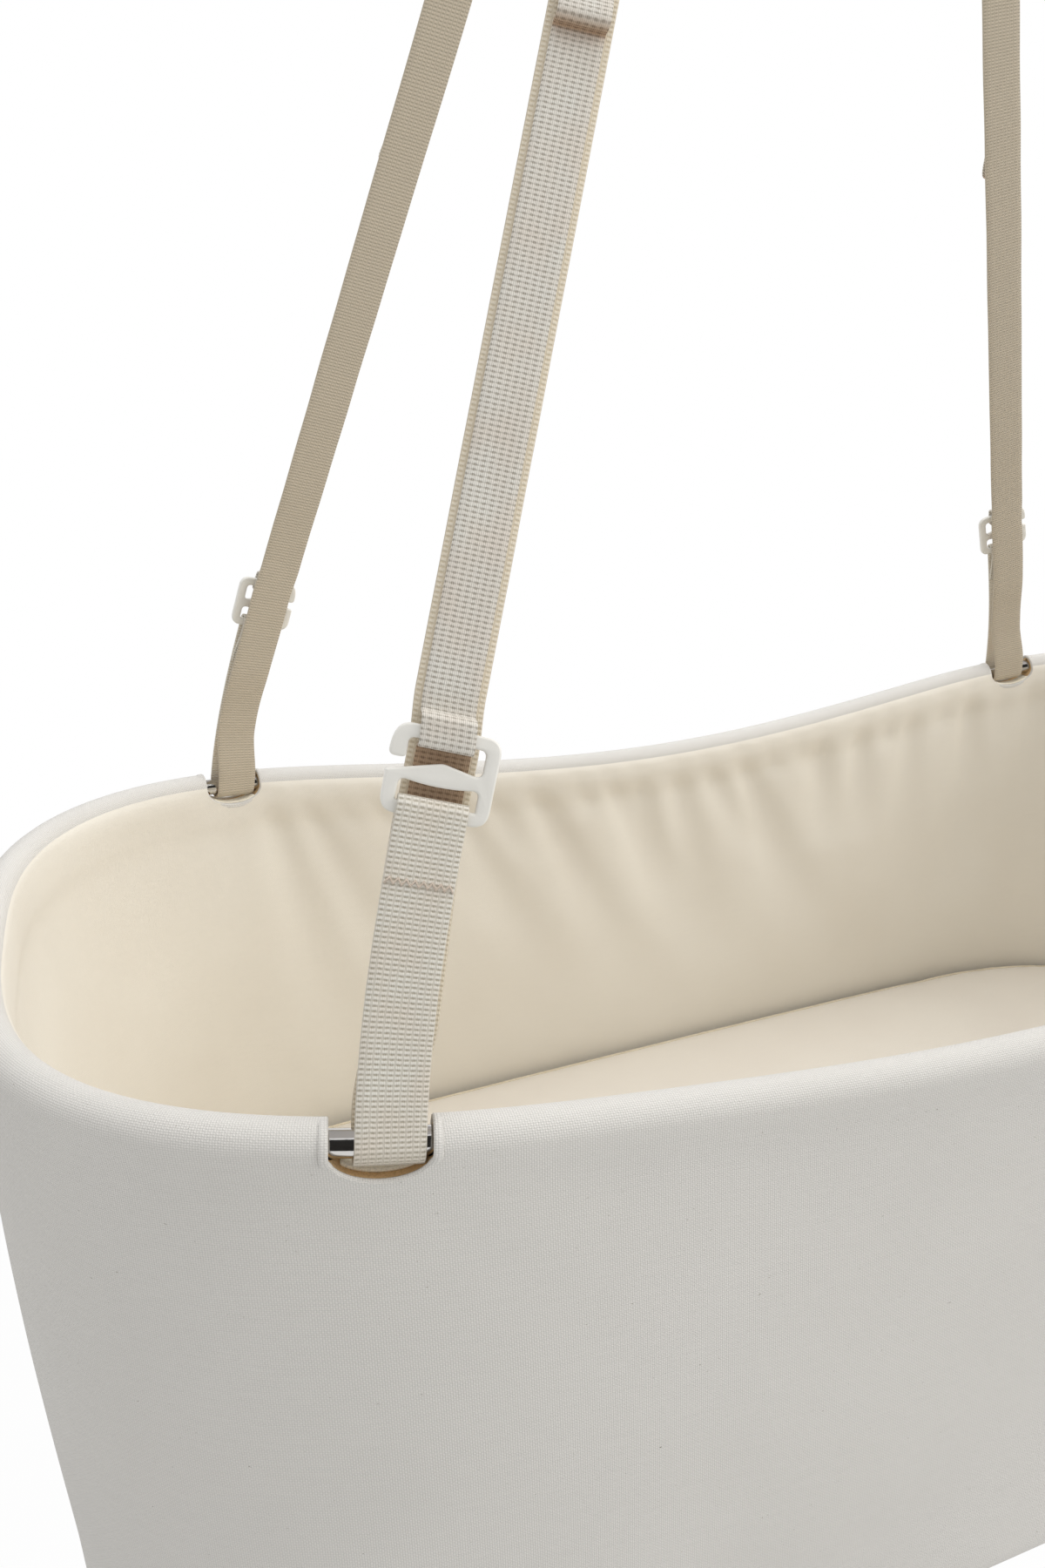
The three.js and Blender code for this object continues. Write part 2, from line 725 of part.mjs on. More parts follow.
// Narrow webbing on the outer face, sewn down between raised loops. The lowest loop holds the hook.
function loopPlaces(frame) {
  const face = -frame.rear + (strapThickness + loopsThickness) / 2 + clearance;
  const hookFace = hookThickness / 2 + clearance + loopsThickness / 2;
  const barTop = frame.hookAt + hookHeight / 2;
  const windowLow = barTop - hookTipLength - hookMouth + hookMiddleRise;
  const end = frame.topAt - topTail - loopsTopMargin;
  const stations = spread(loopsLowEnd, windowLow - 2 * loopsThickness, 5).map((v) => [v, face]);
  stations.push([barTop - hookTopBar - loopsThickness / 2, hookFace]);
  stations.push([barTop + loopsThickness / 2, hookFace]);
  stations.push([barTop + loopsRunOut, face]);
  const lows = Array.from({ length: loopsCount }, (_, i) => frame.hookAt + (i + 1) * loopsSpacing);
  const loops = lows.filter((low) => low + loopsHeight < end);
  const flat = upperStations(frame).filter((v) => v < end && !loops.some((low) => v > low && v < low + loopsHeight));
  stations.push(...flat.map((v) => [v, face]));
  for (const low of loops) {
    for (const share of spread(0, 1, 7)) {
      stations.push([low + loopsHeight * share, face + loopsRise * Math.sin(Math.PI * share)]);
    }
  }
  stations.push([end, face]);
  return stations.sort(([a], [b]) => a - b).map(([v, out]) => frame.at(v, out));
}

// The coated plate hook, drawn flat. Its mouth is on the left, between the tip and the middle bar.
function hookShape() {
  const right = hookWidth / 2;
  const top = hookHeight / 2;
  const corner = hookCorner;
  const fillet = hookFillet;
  const barUnder = top - hookTopBar;
  const windowRight = right - hookSideBar;
  const tipRight = -right + hookTipWidth;
  const tipLow = top - hookTipLength;
  const middleLeft = tipLow - hookMouth;
  const middlePeak = middleLeft + hookMiddleRise;
  const middleLow = middlePeak - hookMiddleBar;
  const shape = new THREE.Shape();
  shape.moveTo(-right, tipLow + fillet);
  shape.quadraticCurveTo(-right, top, -right + corner, top);
  shape.lineTo(right - corner, top);
  shape.quadraticCurveTo(right, top, right, top - corner);
  shape.lineTo(right, corner - top);
  shape.quadraticCurveTo(right, -top, right - corner, -top);
  shape.lineTo(corner - right, -top);
  shape.quadraticCurveTo(-right, -top, -right, corner - top);
  shape.lineTo(-right, middleLeft);
  shape.lineTo(0, middlePeak);
  shape.lineTo(windowRight - fillet, middlePeak - fillet);
  shape.quadraticCurveTo(windowRight, middlePeak - fillet, windowRight, middlePeak);
  shape.lineTo(windowRight, barUnder - fillet);
  shape.quadraticCurveTo(windowRight, barUnder, windowRight - fillet, barUnder);
  shape.lineTo(tipRight + fillet, barUnder);
  shape.quadraticCurveTo(tipRight, barUnder, tipRight, barUnder - fillet);
  shape.lineTo(tipRight, tipLow + fillet / 2);
  shape.quadraticCurveTo(tipRight, tipLow, tipRight - fillet, tipLow);
  shape.lineTo(-right + fillet / 2, tipLow + fillet / 4);
  const windowLeft = -right + hookSideBar;
  const windowLow = -top + hookLowerBar;
  const windowTop = middleLow + hookMiddleSag;
  const hole = new THREE.Path();
  hole.moveTo(windowRight, windowLow);
  hole.lineTo(windowRight, windowTop - fillet);
  hole.quadraticCurveTo(windowRight, windowTop, windowRight - fillet, windowTop);
  hole.quadraticCurveTo(0, middleLow - hookMiddleSag, windowLeft + fillet, windowTop);
  hole.quadraticCurveTo(windowLeft, windowTop, windowLeft, windowTop - fillet);
  hole.lineTo(windowLeft, windowLow);
  shape.holes.push(hole);
  return shape;
}

function addHook(name, frame) {
  const hook = new THREE.ExtrudeGeometry(hookShape(), {
    depth: hookThickness - 2 * hookBevel,
    bevelThickness: hookBevel,
    bevelSize: hookBevel,
    bevelOffset: -hookBevel,
    bevelSegments: 1,
    curveSegments: hookCurveSegments,
  });
  hook.translate(hookShift, 0, hookBevel - hookThickness / 2);
  const { point, across, outward, up } = frame.at(frame.hookAt);
  hook.applyMatrix4(new THREE.Matrix4().makeBasis(across, up, outward).setPosition(point));
  addPiece(`${name}_hook`, geometryOf(solidOf(hook)), "coated");
}

// A bar of sewing thread that lies across the webbing's outer face.
function addStitching(name, place, thickness) {
  const bar = new THREE.BoxGeometry(strapWidth - 2 * cutOverrun, stitchHeight, stitchRise);
  const { point, across, outward, up } = place;
  const square = across.clone().addScaledVector(up, -across.dot(up)).normalize();
  const lifted = point.clone().addScaledVector(outward, (thickness + stitchRise) / 2 + clearance);
  bar.applyMatrix4(new THREE.Matrix4().makeBasis(square, up, outward).setPosition(lifted));
  addPiece(name, bar, "thread");
}

function addStraps() {
  const frames = Object.fromEntries(corners.map((corner) => [corner.name, new StrapFrame(corner)]));
  for (const { name, side, along } of corners) {
    const frame = frames[name];
    const other = Object.values(frames).find((each) => each.side === -side && each.along === along);
    const places = [...strapPlaces(frame), ...topPlaces(frame, other)];
    addPiece(`${name}_strap`, webbing(places, strapWidth, strapThickness), "webbing");
    addPiece(`${name}_loop_tape`, webbing(loopPlaces(frame), loopsWidth, loopsThickness), "webbing");
    addHook(name, frame);
    const stitchAt = frame.hookAt - hookHeight / 2 - stitchBack;
    addStitching(`${name}_hook_stitching`, frame.at(stitchAt, frontOut(frame, stitchAt)), strapThickness);
    const topOut = frame.layer ? 0 : strapThickness + clearance;
    addStitching(`${name}_top_stitching`, frame.at(frame.topAt - topStitchDrop, topOut - frame.rear), strapThickness);
  }
}

// Triangular ring that the straps hang on.
function addStrapRing() {
  const half = ringBarHalf;
  const radius = ringCornerRadius;
  const points = [
    new THREE.Vector2(0, ringHeight),
    new THREE.Vector2(-half, 0),
    new THREE.Vector2(half, 0),
  ];
  const outline = new THREE.Shape();
  points.forEach((point, i) => {
    const next = points[(i + 1) % points.length];
    const towards = next.clone().sub(point).normalize().multiplyScalar(radius);
    const start = point.clone().add(towards);
    const end = next.clone().sub(towards);
    if (i === 0) outline.moveTo(start.x, start.y);
    else outline.quadraticCurveTo(point.x, point.y, start.x, start.y);
    outline.lineTo(end.x, end.y);
  });
  const last = outline.getPoint(0);
  outline.quadraticCurveTo(points[0].x, points[0].y, last.x, last.y);
  const loop = outline.getPoints(ringCornerSegments).slice(0, -1);
  const rodSection = new THREE.Shape().absarc(0, 0, ringRod / 2, 0, 2 * Math.PI);
  const section = rodSection.getSpacedPoints(ringSides);
  const lathe = new THREE.LatheGeometry(
    section.map((point) => new THREE.Vector2(half + point.x, point.y)),
    loop.length,
  );
  const position = lathe.getAttribute("position");
  for (let i = 0; i <= loop.length; i++) {
    const at = i % loop.length;
    const before = loop[(at + loop.length - 1) % loop.length];
    const after = loop[(at + 1) % loop.length];
    const outward = new THREE.Vector2(after.y - before.y, before.x - after.x).normalize();
    section.forEach((point, j) => {
      position.setXYZ(
        i * section.length + j,
        loop[at].x + outward.x * point.x,
        -point.y,
        loop[at].y + outward.y * point.x + ringBarAboveRim,
      );
    });
  }
  addPiece("strap_ring", lathe, "steel");
}

// Snap hook and its gate

function addSnapHook(group) {
  const half = snapHalfWidth;
  const upperCentre = snapLoopTop - half;
  const lowerCentre = snapLoopBottom + half;
  const noseTop = lowerCentre + snapNoseRise;
  const arc = (level, from, to) =>
    spread(THREE.MathUtils.degToRad(from), THREE.MathUtils.degToRad(to), snapArcSteps + 1).map(
      (angle) => new THREE.Vector3(0, half * Math.cos(angle), level + half * Math.sin(angle)),
    );
  const points = [
    ...arc(upperCentre, snapMouthDegrees, 180),
    ...arc(lowerCentre, 180, 360),
    new THREE.Vector3(0, half, noseTop),
  ];
  const curve = new THREE.CatmullRomCurve3(points, false, "centripetal");
  const body = rodAlong(curve, snapRod, snapSteps);
  const boss = turned([
    [0, snapLoopTop - snapRod / 2],
    [snapBossDiameter / 2, snapLoopTop - snapRod / 2],
    [snapBossDiameter / 2, snapTop],
    [0, snapTop],
  ]);
  const hole = turned([
    [0, snapTop - swivelPinSink - clearance],
    [swivelPinDiameter / 2 + clearance, snapTop - swivelPinSink - clearance],
    [swivelPinDiameter / 2 + clearance, snapTop + cutOverrun],
    [0, snapTop + cutOverrun],
  ]);
  const pivotLevel = upperCentre;
  const fork = new THREE.BoxGeometry(forkWidth, forkDepth, forkHeight);
  fork.translate(0, half, pivotLevel + forkHeight / 4);
  const slot = new THREE.BoxGeometry(gateTongue + 2 * clearance, 2 * forkDepth, forkHeight);
  slot.translate(0, half, pivotLevel + gateRod / 2 + 2 * clearance - forkHeight / 2);
  const pinHole = rod(
    gatePinDiameter + 2 * clearance,
    new THREE.Vector3(-forkWidth, half, pivotLevel),
    new THREE.Vector3(forkWidth, half, pivotLevel),
  );
  addPiece("snap_hook", cut(join(body, boss, fork), hole, slot, pinHole), "steel", group);
  const pin = turned([
    [0, -forkWidth / 2 - gatePinHeadHeight - clearance],
    [gatePinHead / 2, -forkWidth / 2 - gatePinHeadHeight - clearance],
    [gatePinHead / 2, -forkWidth / 2 - clearance],
    [gatePinDiameter / 2, -forkWidth / 2 - clearance],
    [gatePinDiameter / 2, forkWidth / 2 + clearance],
    [gatePinHead / 2, forkWidth / 2 + clearance],
    [gatePinHead / 2, forkWidth / 2 + gatePinHeadHeight + clearance],
    [0, forkWidth / 2 + gatePinHeadHeight + clearance],
  ], rodSides);
  pin.rotateY(Math.PI / 2);
  pin.translate(0, half, pivotLevel);
  addPiece("gate_pin", pin, "steel", group);
}

function addSnapGate(group) {
  const half = snapHalfWidth;
  const pivotLevel = snapLoopTop - half;
  const noseTop = snapLoopBottom + half + snapNoseRise;
  const gateLow = noseTop + clearance;
  const slotLow = pivotLevel - (3 * forkHeight) / 4 - clearance;
  const bar = rod(gateRod, new THREE.Vector3(0, half, gateLow), new THREE.Vector3(0, half, slotLow));
  const tongue = rod(
    gateRod + clearance,
    new THREE.Vector3(-gateTongue / 2, half, pivotLevel),
    new THREE.Vector3(gateTongue / 2, half, pivotLevel),
    roundSides / 2,
  );
  const neck = new THREE.BoxGeometry(gateTongue, gateTongue, pivotLevel - slotLow + cutOverrun);
  neck.translate(0, half, (pivotLevel + slotLow - cutOverrun) / 2);
  const pinHole = rod(
    gatePinDiameter + 2 * clearance,
    new THREE.Vector3(-forkWidth, half, pivotLevel),
    new THREE.Vector3(forkWidth, half, pivotLevel),
  );
  addPiece("snap_gate", cut(join(bar, tongue, neck), pinHole), "steel", group);
}

// Swivel

function addSwivel(group) {
  const ring = new THREE.TorusGeometry(swivelRingRadius, swivelRod / 2, rodSides, roundSides);
  ring.rotateY(Math.PI / 2);
  ring.translate(0, 0, swivelRingLevel);
  const collar = turned([
    [0, collarBottom],
    [swivelCollarDiameter / 2, collarBottom],
    [swivelCollarDiameter / 2, collarTop],
    [0, collarTop],
  ]);
  const seat = collarTop + swivelRod / 2 - swivelHeadHeight / 2;
  const bore = turned([
    [0, collarBottom - cutOverrun],
    [swivelPinDiameter / 2 + clearance, collarBottom - cutOverrun],
    [swivelPinDiameter / 2 + clearance, seat],
    [swivelHeadDiameter / 2 + clearance, seat],
    [swivelHeadDiameter / 2 + clearance, seat + swivelRod],
    [0, seat + swivelRod],
  ]);
  addPiece("swivel_eye", cut(join(ring, collar), bore), "steel", group);
  return seat;
}

function addSwivelPin(group, seat) {
  const pin = turned([
    [0, snapTop - swivelPinSink],
    [swivelPinDiameter / 2, snapTop - swivelPinSink],
    [swivelPinDiameter / 2, seat + clearance],
    [swivelHeadDiameter / 2, seat + clearance],
    [swivelHeadDiameter / 2, seat + clearance + swivelHeadHeight],
    [0, seat + clearance + swivelHeadHeight],
  ]);
  addPiece("swivel_pin", pin, "steel", group);
}

// Ceiling bracket and its screws

function addBracket(group) {
  const plate = turned([
    [0, -plateThickness],
    [plateDiameter / 2, -plateThickness],
    [plateDiameter / 2, 0],
    [0, 0],
  ], 2 * roundSides);
  const legTop = -plateThickness + cutOverrun;
  const archLevel = -plateThickness - eyeLeg;
  const points = [new THREE.Vector3(-eyeRadius, 0, legTop)];
  for (const angle of spread(Math.PI, 2 * Math.PI, 13)) {
    points.push(new THREE.Vector3(eyeRadius * Math.cos(angle), 0, archLevel + eyeRadius * Math.sin(angle)));
  }
  points.push(new THREE.Vector3(eyeRadius, 0, legTop));
  const eye = rodAlong(new THREE.CatmullRomCurve3(points, false, "centripetal"), eyeRod, eyeSteps);
  const radius = screwCircle / 2;
  const holes = [];
  for (let i = 0; i < screwCount; i++) {
    const angle = ((i + 1 / 2) * 2 * Math.PI) / screwCount;
    const hole = turned([
      [0, -plateThickness - cutOverrun],
      [screwHeadDiameter / 2 + clearance, -plateThickness - cutOverrun],
      [screwHeadDiameter / 2 + clearance, -plateThickness],
      [screwDiameter / 2 + clearance, -plateThickness + screwHeadHeight],
      [screwDiameter / 2 + clearance, cutOverrun],
      [0, cutOverrun],
    ]);
    hole.translate(radius * Math.cos(angle), radius * Math.sin(angle), 0);
    holes.push(hole);
    const screw = turned([
      [0, -plateThickness],
      [screwHeadDiameter / 2, -plateThickness],
      [screwDiameter / 2, -plateThickness + screwHeadHeight],
      [screwDiameter / 2, screwLength - plateThickness - screwPointLength],
      [0, screwLength - plateThickness],
    ], roundSides / 2);
    screw.translate(radius * Math.cos(angle), radius * Math.sin(angle), 0);
    addPiece(`ceiling_screw_${i + 1}`, screw, "steel", group);
  }
  addPiece("ceiling_bracket", cut(join(plate, eye), ...holes), "steel", group);
}

const assembly = new THREE.Group();
addBracket(assembly);
addSwivelPin(assembly, addSwivel(assembly));
addSnapHook(assembly);
addSnapGate(assembly);

cradle.position.z = rimLevel;
assembly.add(cradle);
addStrapRing();
addStraps();
addRimTube();
addBowl();
addLining();
addBoard();
addMattress(cradle);

export default assembly;
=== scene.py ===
"""Hanging baby cradle: canvas bowl on a steel rim, carried by four webbing straps from the ceiling."""
import math

import bmesh
import bpy
from mathutils import Matrix, Vector, noise
from mathutils.bvhtree import BVHTree


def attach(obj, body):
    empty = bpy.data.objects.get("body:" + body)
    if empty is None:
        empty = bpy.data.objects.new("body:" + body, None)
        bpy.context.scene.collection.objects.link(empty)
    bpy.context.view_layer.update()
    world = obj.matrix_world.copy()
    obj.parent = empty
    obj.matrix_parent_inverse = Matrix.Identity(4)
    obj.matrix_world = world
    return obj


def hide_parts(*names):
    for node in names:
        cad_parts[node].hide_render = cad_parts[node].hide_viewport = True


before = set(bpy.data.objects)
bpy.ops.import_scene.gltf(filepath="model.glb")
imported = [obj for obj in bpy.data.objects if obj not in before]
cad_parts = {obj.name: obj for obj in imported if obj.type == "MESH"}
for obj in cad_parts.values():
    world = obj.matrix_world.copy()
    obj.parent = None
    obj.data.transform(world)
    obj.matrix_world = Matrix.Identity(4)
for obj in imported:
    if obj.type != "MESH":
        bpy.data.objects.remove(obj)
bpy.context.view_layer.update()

# Rim and bowl. Heights are above the rim level, which is the tube's middle in a notch.
RIM_LEVEL = -1.013504
LIFT = Vector((0, 0, RIM_LEVEL))
TUBE_RADIUS = 0.005
RIM_HALF_LENGTH = 0.446
RIM_HALF_WIDTH = 0.215
RIM_STRAIGHT_HALF = 0.214
RIM_ROUNDNESS = 2.87
RIM_SIDE_BOW = 0.0038
RIM_WAVE = 0.037
STRAIGHT_STEP_SHARE = 0.4
PERIMETER = 2.2
WALL_BAND = 0.06
BOWL_DEPTH = 0.328
CANVAS = 0.0016
LIP_RADIUS = 0.0086
WALL_OFFSET = 0.007
BOWL_BULGE = 0.0025
HEM_DEPTH = 0.02
BOWL_CORNER = 0.025
NOTCH_X = 0.313
NOTCH_WIDTH = 0.0355
NOTCH_DEPTH = 0.0105
NOTCH_HEIGHT = 0.014

# Lining, board and mattress
LINING = 0.0012
LINING_OFFSET = -0.0075
LINING_TOP_RISE = 0.002
LINING_TAPER = 0.011
LINING_FLOOR = -BOWL_DEPTH + 0.0082
LINING_CORNER = 0.01
FOLD = 0.0074
FOLD_START = 0.0112
MATTRESS_LOW = -BOWL_DEPTH + 0.01
MATTRESS_TOP = -0.261
MATTRESS_EDGE = -0.0136
MATTRESS_CORNER = 0.005
PIPING_RADIUS = 0.0013

# Webbing
STRAP_WIDTH = 0.0238
STRAP = 0.0014
STRAP_SLIDE = 0.0022
FRONT_SLIDE = 0.0008
TAPE_WIDTH = 0.0185
TAPE = 0.0012
LOOP_SPACING = 0.245
LOOP_HEIGHT = 0.017
LOOP_SAG = 0.009
TAPE_LOW_END = 0.042
TAPE_TOP_MARGIN = 0.04
FOLD_BACK = 0.024
STITCH_BACK = 0.021
TOP_TAIL = 0.042
TOP_STITCH_DROP = 0.028
GAP = 0.0003

# Strap hook
HOOK_RISE = 0.1176
HOOK_INSET_X = 0.034
HOOK_INSET_Y = 0.0215
HOOK_WIDTH = 0.0364
HOOK_HEIGHT = 0.03
HOOK = 0.003
HOOK_BAR = 0.0046
HOOK_SHIFT = 0.0015
HOOK_ROUNDING = 0.0009
BEND_RISE = 0.028
BAR_LOW = -HOOK_HEIGHT / 2
TURN = HOOK / 2 + GAP + 0.0005 + STRAP / 2

# Ring the straps hang on
RING_ROD = 0.008
RING_HALF = 0.07
RING_HEIGHT = 0.088
RING_CORNER = 0.012
STRAP_TOP_X = 0.0406
RING_BAR = 0.768

# Snap hook, swivel and bracket. Heights are measured from the ceiling.
SNAP_TOP, SNAP_LOW, SNAP_HALF, SNAP_ROD = -0.1035, -0.1535, 0.017, 0.004
NOSE_RISE = 0.011
RIVET_HOLE = 0.0018
EYE_LEVEL, EYE_RADIUS, EYE_ROD = -0.0422, 0.015, 0.0035
COLLAR_LOW, COLLAR_TOP, COLLAR_RADIUS = -0.0692, -0.0572, 0.008
PIN_SEAT = COLLAR_TOP + EYE_ROD - 0.0015
PIN_BORE = 0.0038
PLATE, PLATE_RADIUS = 0.005, 0.036
ARCH_LEVEL, ARCH_RADIUS, ARCH_ROD = -0.019, 0.016, 0.004
SCREW_CIRCLE = 0.026

# Each strap's name, side of the cradle and end of it
CORNERS = [("front_left", -1, -1), ("front_right", -1, 1), ("back_left", 1, -1), ("back_right", 1, 1)]


# Small helpers

def spread(start, end, count):
    """Even steps from start to end."""
    return [start + (end - start) * i / (count - 1) for i in range(count)]


def unit(value):
    return min(max(value, 0), 1)


def ease(value):
    value = unit(value)
    return value * value * (3 - 2 * value)


def bent(start, corner, end, count):
    """Points on a smooth bend that a corner pulls out."""
    return [start * (1 - t) ** 2 + corner * 2 * t * (1 - t) + end * t ** 2 for t in spread(0, 1, count)]


def unevenness(centre, up, wide, tall, shift=0):
    """Soft noise at a place of the rim and a height."""
    return noise.noise(Vector((centre.x * wide, centre.y * wide, up * tall + shift)))


def in_scene(name, data):
    thing = bpy.data.objects.new(name, data)
    bpy.context.scene.collection.objects.link(thing)
    return thing


# Camera, from where the cradle is seen in the picture

def make_camera():
    data = bpy.data.cameras.new("picture_camera")
    data.sensor_width, data.lens = 36, 26.7254
    data.clip_start, data.clip_end = 0.02, 50
    camera = in_scene("picture_camera", data)
    yaw, pitch, roll = (math.radians(angle) for angle in (19.434, 18.777, -2.635))
    ahead = Vector((math.sin(yaw) * math.cos(pitch), math.cos(yaw) * math.cos(pitch), -math.sin(pitch)))
    level_right = Vector((math.cos(yaw), -math.sin(yaw), 0))
    level_up = level_right.cross(ahead)
    right = level_right * math.cos(roll) + level_up * math.sin(roll)
    up = level_up * math.cos(roll) - level_right * math.sin(roll)
    turn = Matrix((right, up, -ahead)).transposed().to_4x4()
    camera.matrix_world = Matrix.Translation((-0.37283, -0.5347, 0.23558 + RIM_LEVEL)) @ turn
    bpy.context.scene.camera = camera


make_camera()


# Materials

class Nodes:
    """The node tree of a material or world, with short calls to add and join nodes."""

    def __init__(self, name, kind=bpy.data.materials, shader="Principled BSDF"):
        self.owner = kind.new(name)
        self.owner.use_nodes = True
        self.tree = self.owner.node_tree
        self.shader = self.tree.nodes[shader]

    def feed(self, node, inputs):
        for key, value in inputs.items():
            if isinstance(value, bpy.types.NodeSocket):
                self.tree.links.new(value, node.inputs[key])
            else:
                node.inputs[key].default_value = value
        return node

    def add(self, kind, inputs, **settings):
        node = self.tree.nodes.new(kind)
        for name, value in settings.items():
            setattr(node, name, value)
        return self.feed(node, inputs)

    def maths(self, operation, *values):
        return self.add("ShaderNodeMath", dict(enumerate(values)), operation=operation).outputs[0]

    def scaled(self, value, factor, plus):
        return self.maths("MULTIPLY_ADD", value, factor, plus)

    def noise(self, vector, scale, detail=2.0, roughness=0.5):
        """The scale is one number, or one for each axis."""
        if isinstance(scale, tuple):
            vector = self.add("ShaderNodeMapping", {"Vector": vector, "Scale": scale}).outputs[0]
            scale = 1.0
        inputs = {"Vector": vector, "Scale": scale, "Detail": detail, "Roughness": roughness}
        return self.add("ShaderNodeTexNoise", inputs).outputs["Fac"]

    def between(self, value, low, high, to_low=0.0, to_high=1.0):
        inputs = {"Value": value, "From Min": low, "From Max": high, "To Min": to_low, "To Max": to_high}
        return self.add("ShaderNodeMapRange", inputs).outputs[0]

    def blend(self, share, first, second, kind="MIX"):
        inputs = {0: share, 6: first, 7: second}
        return self.add("ShaderNodeMix", inputs, data_type="RGBA", blend_type=kind).outputs[2]

    def tones(self, value, low, high, first, second):
        """From the first colour to the second, as the value goes from low to high."""
        return self.blend(self.between(value, low, high), first, second)

    def bump(self, height, distance, strength, normal=None):
        inputs = {"Height": height, "Distance": distance, "Strength": strength}
        if normal is not None:
            inputs["Normal"] = normal
        return self.add("ShaderNodeBump", inputs).outputs[0]

    def cloth_map(self, name="cloth"):
        """Metres along the cloth and down it, or, from the shade map, how much painted shade the webbing gets."""
        return self.add("ShaderNodeUVMap", {}, uv_map=name).outputs[0]

    def axes(self, vector):
        return self.add("ShaderNodeSeparateXYZ", {0: vector}).outputs[:2]

    def place(self):
        return self.add("ShaderNodeTexCoord", {}).outputs["Object"]

    def seen_plainly(self):
        """1 where the camera, a reflection or glass looks, and 0 for light that falls on the pieces."""
        rays = self.add("ShaderNodeLightPath", {}).outputs
        seen = self.maths("MAXIMUM", rays["Is Camera Ray"], rays["Is Glossy Ray"])
        return self.maths("MAXIMUM", seen, rays["Is Transmission Ray"])

    def wear(self, **sockets):
        self.feed(self.shader, {name.replace("_", " "): value for name, value in sockets.items()})
        return self.owner

    def woven(self, tone, rough, normal, sheen, gloss):
        return self.wear(Base_Color=tone, Roughness=rough, Normal=normal, Sheen_Weight=sheen,
                         Sheen_Roughness=0.5, Specular_IOR_Level=gloss)


def rgb(*screen):
    """A colour as it is written for a screen, made linear."""
    shares = [value / 255 for value in screen]
    return (*(share / 12.92 if share <= 0.04045 else ((share + 0.055) / 1.055) ** 2.4 for share in shares), 1)


def darker(colour, share):
    return (*(share * value for value in colour[:3]), 1)


def plain_weave(nodes, pitch):
    """The cloth map, and on it the height of a plain weave: crossing yarns that are a little uneven."""
    cloth = nodes.cloth_map()
    uneven = nodes.noise(cloth, (60, 900, 1))
    drift = nodes.noise(cloth, (900, 60, 1))
    waves = []
    for axis, wander in zip(nodes.axes(cloth), (uneven, drift)):
        turn = nodes.scaled(wander, 1.2, nodes.maths("MULTIPLY", axis, math.pi / pitch))
        waves.append(nodes.maths("SINE", turn))
    hole = nodes.maths("MULTIPLY", *(nodes.maths("ABSOLUTE", wave) for wave in waves))
    height = nodes.scaled(nodes.maths("MULTIPLY", *waves), 0.22, 0.22)
    height = nodes.scaled(nodes.maths("POWER", hole, 0.6), 0.56, height)
    return cloth, nodes.scaled(uneven, 0.16, height)


def make_canvas():
    nodes = Nodes("cotton_canvas")
    cloth, height = plain_weave(nodes, 0.00085)
    place = nodes.place()
    tone = nodes.tones(nodes.noise(place, 7), 0.35, 0.65, rgb(228, 225, 220), rgb(233, 230, 225))
    tone = nodes.tones(height, 0.15, 0.7, rgb(195, 193, 188), tone)
    flecks = nodes.between(nodes.noise(cloth, (420, 700, 1), 3, 0.6), 0.7, 0.735)
    patches = nodes.between(nodes.noise(cloth, 60), 0.45, 0.6)
    tone = nodes.blend(nodes.maths("MULTIPLY", flecks, patches), tone, rgb(140, 132, 118))
    fuzz = nodes.noise(place, 900)
    normal = nodes.bump(height, 0.00042, 0.7, nodes.bump(fuzz, 0.0001, 0.3))
    return nodes.woven(tone, nodes.between(fuzz, 0.3, 0.7, 0.86, 0.98), normal, 0.12, 0.25)


def make_edge_cloth(name, light, shade):
    """Cloth turned over an edge, where the weave runs off its map."""
    nodes = Nodes(name)
    place = nodes.place()
    yarn = nodes.noise(place, 1300, 2, 0.6)
    tone = nodes.tones(nodes.noise(place, 60), 0.35, 0.65, shade, light)
    tone = nodes.tones(yarn, 0.3, 0.55, darker(shade, 0.8), tone)
    return nodes.woven(tone, nodes.between(yarn, 0.3, 0.7, 0.86, 0.98), nodes.bump(yarn, 0.0004, 0.6), 0.12, 0.2)


def make_lining_cloth(name, light, shade, pitch):
    nodes = Nodes(name)
    _, height = plain_weave(nodes, pitch)
    place = nodes.place()
    tone = nodes.tones(nodes.noise(place, 9, 3), 0.3, 0.7, shade, light)
    tone = nodes.tones(height, 0.1, 0.6, darker(shade, 0.86), tone)
    rough = nodes.between(nodes.noise(place, 1100), 0.3, 0.7, 0.88, 0.98)
    creases = nodes.bump(nodes.noise(place, (34, 34, 22), 3), 0.0012, 0.35)
    return nodes.woven(tone, rough, nodes.bump(height, 0.0002, 0.6, creases), 0.15, 0.2)


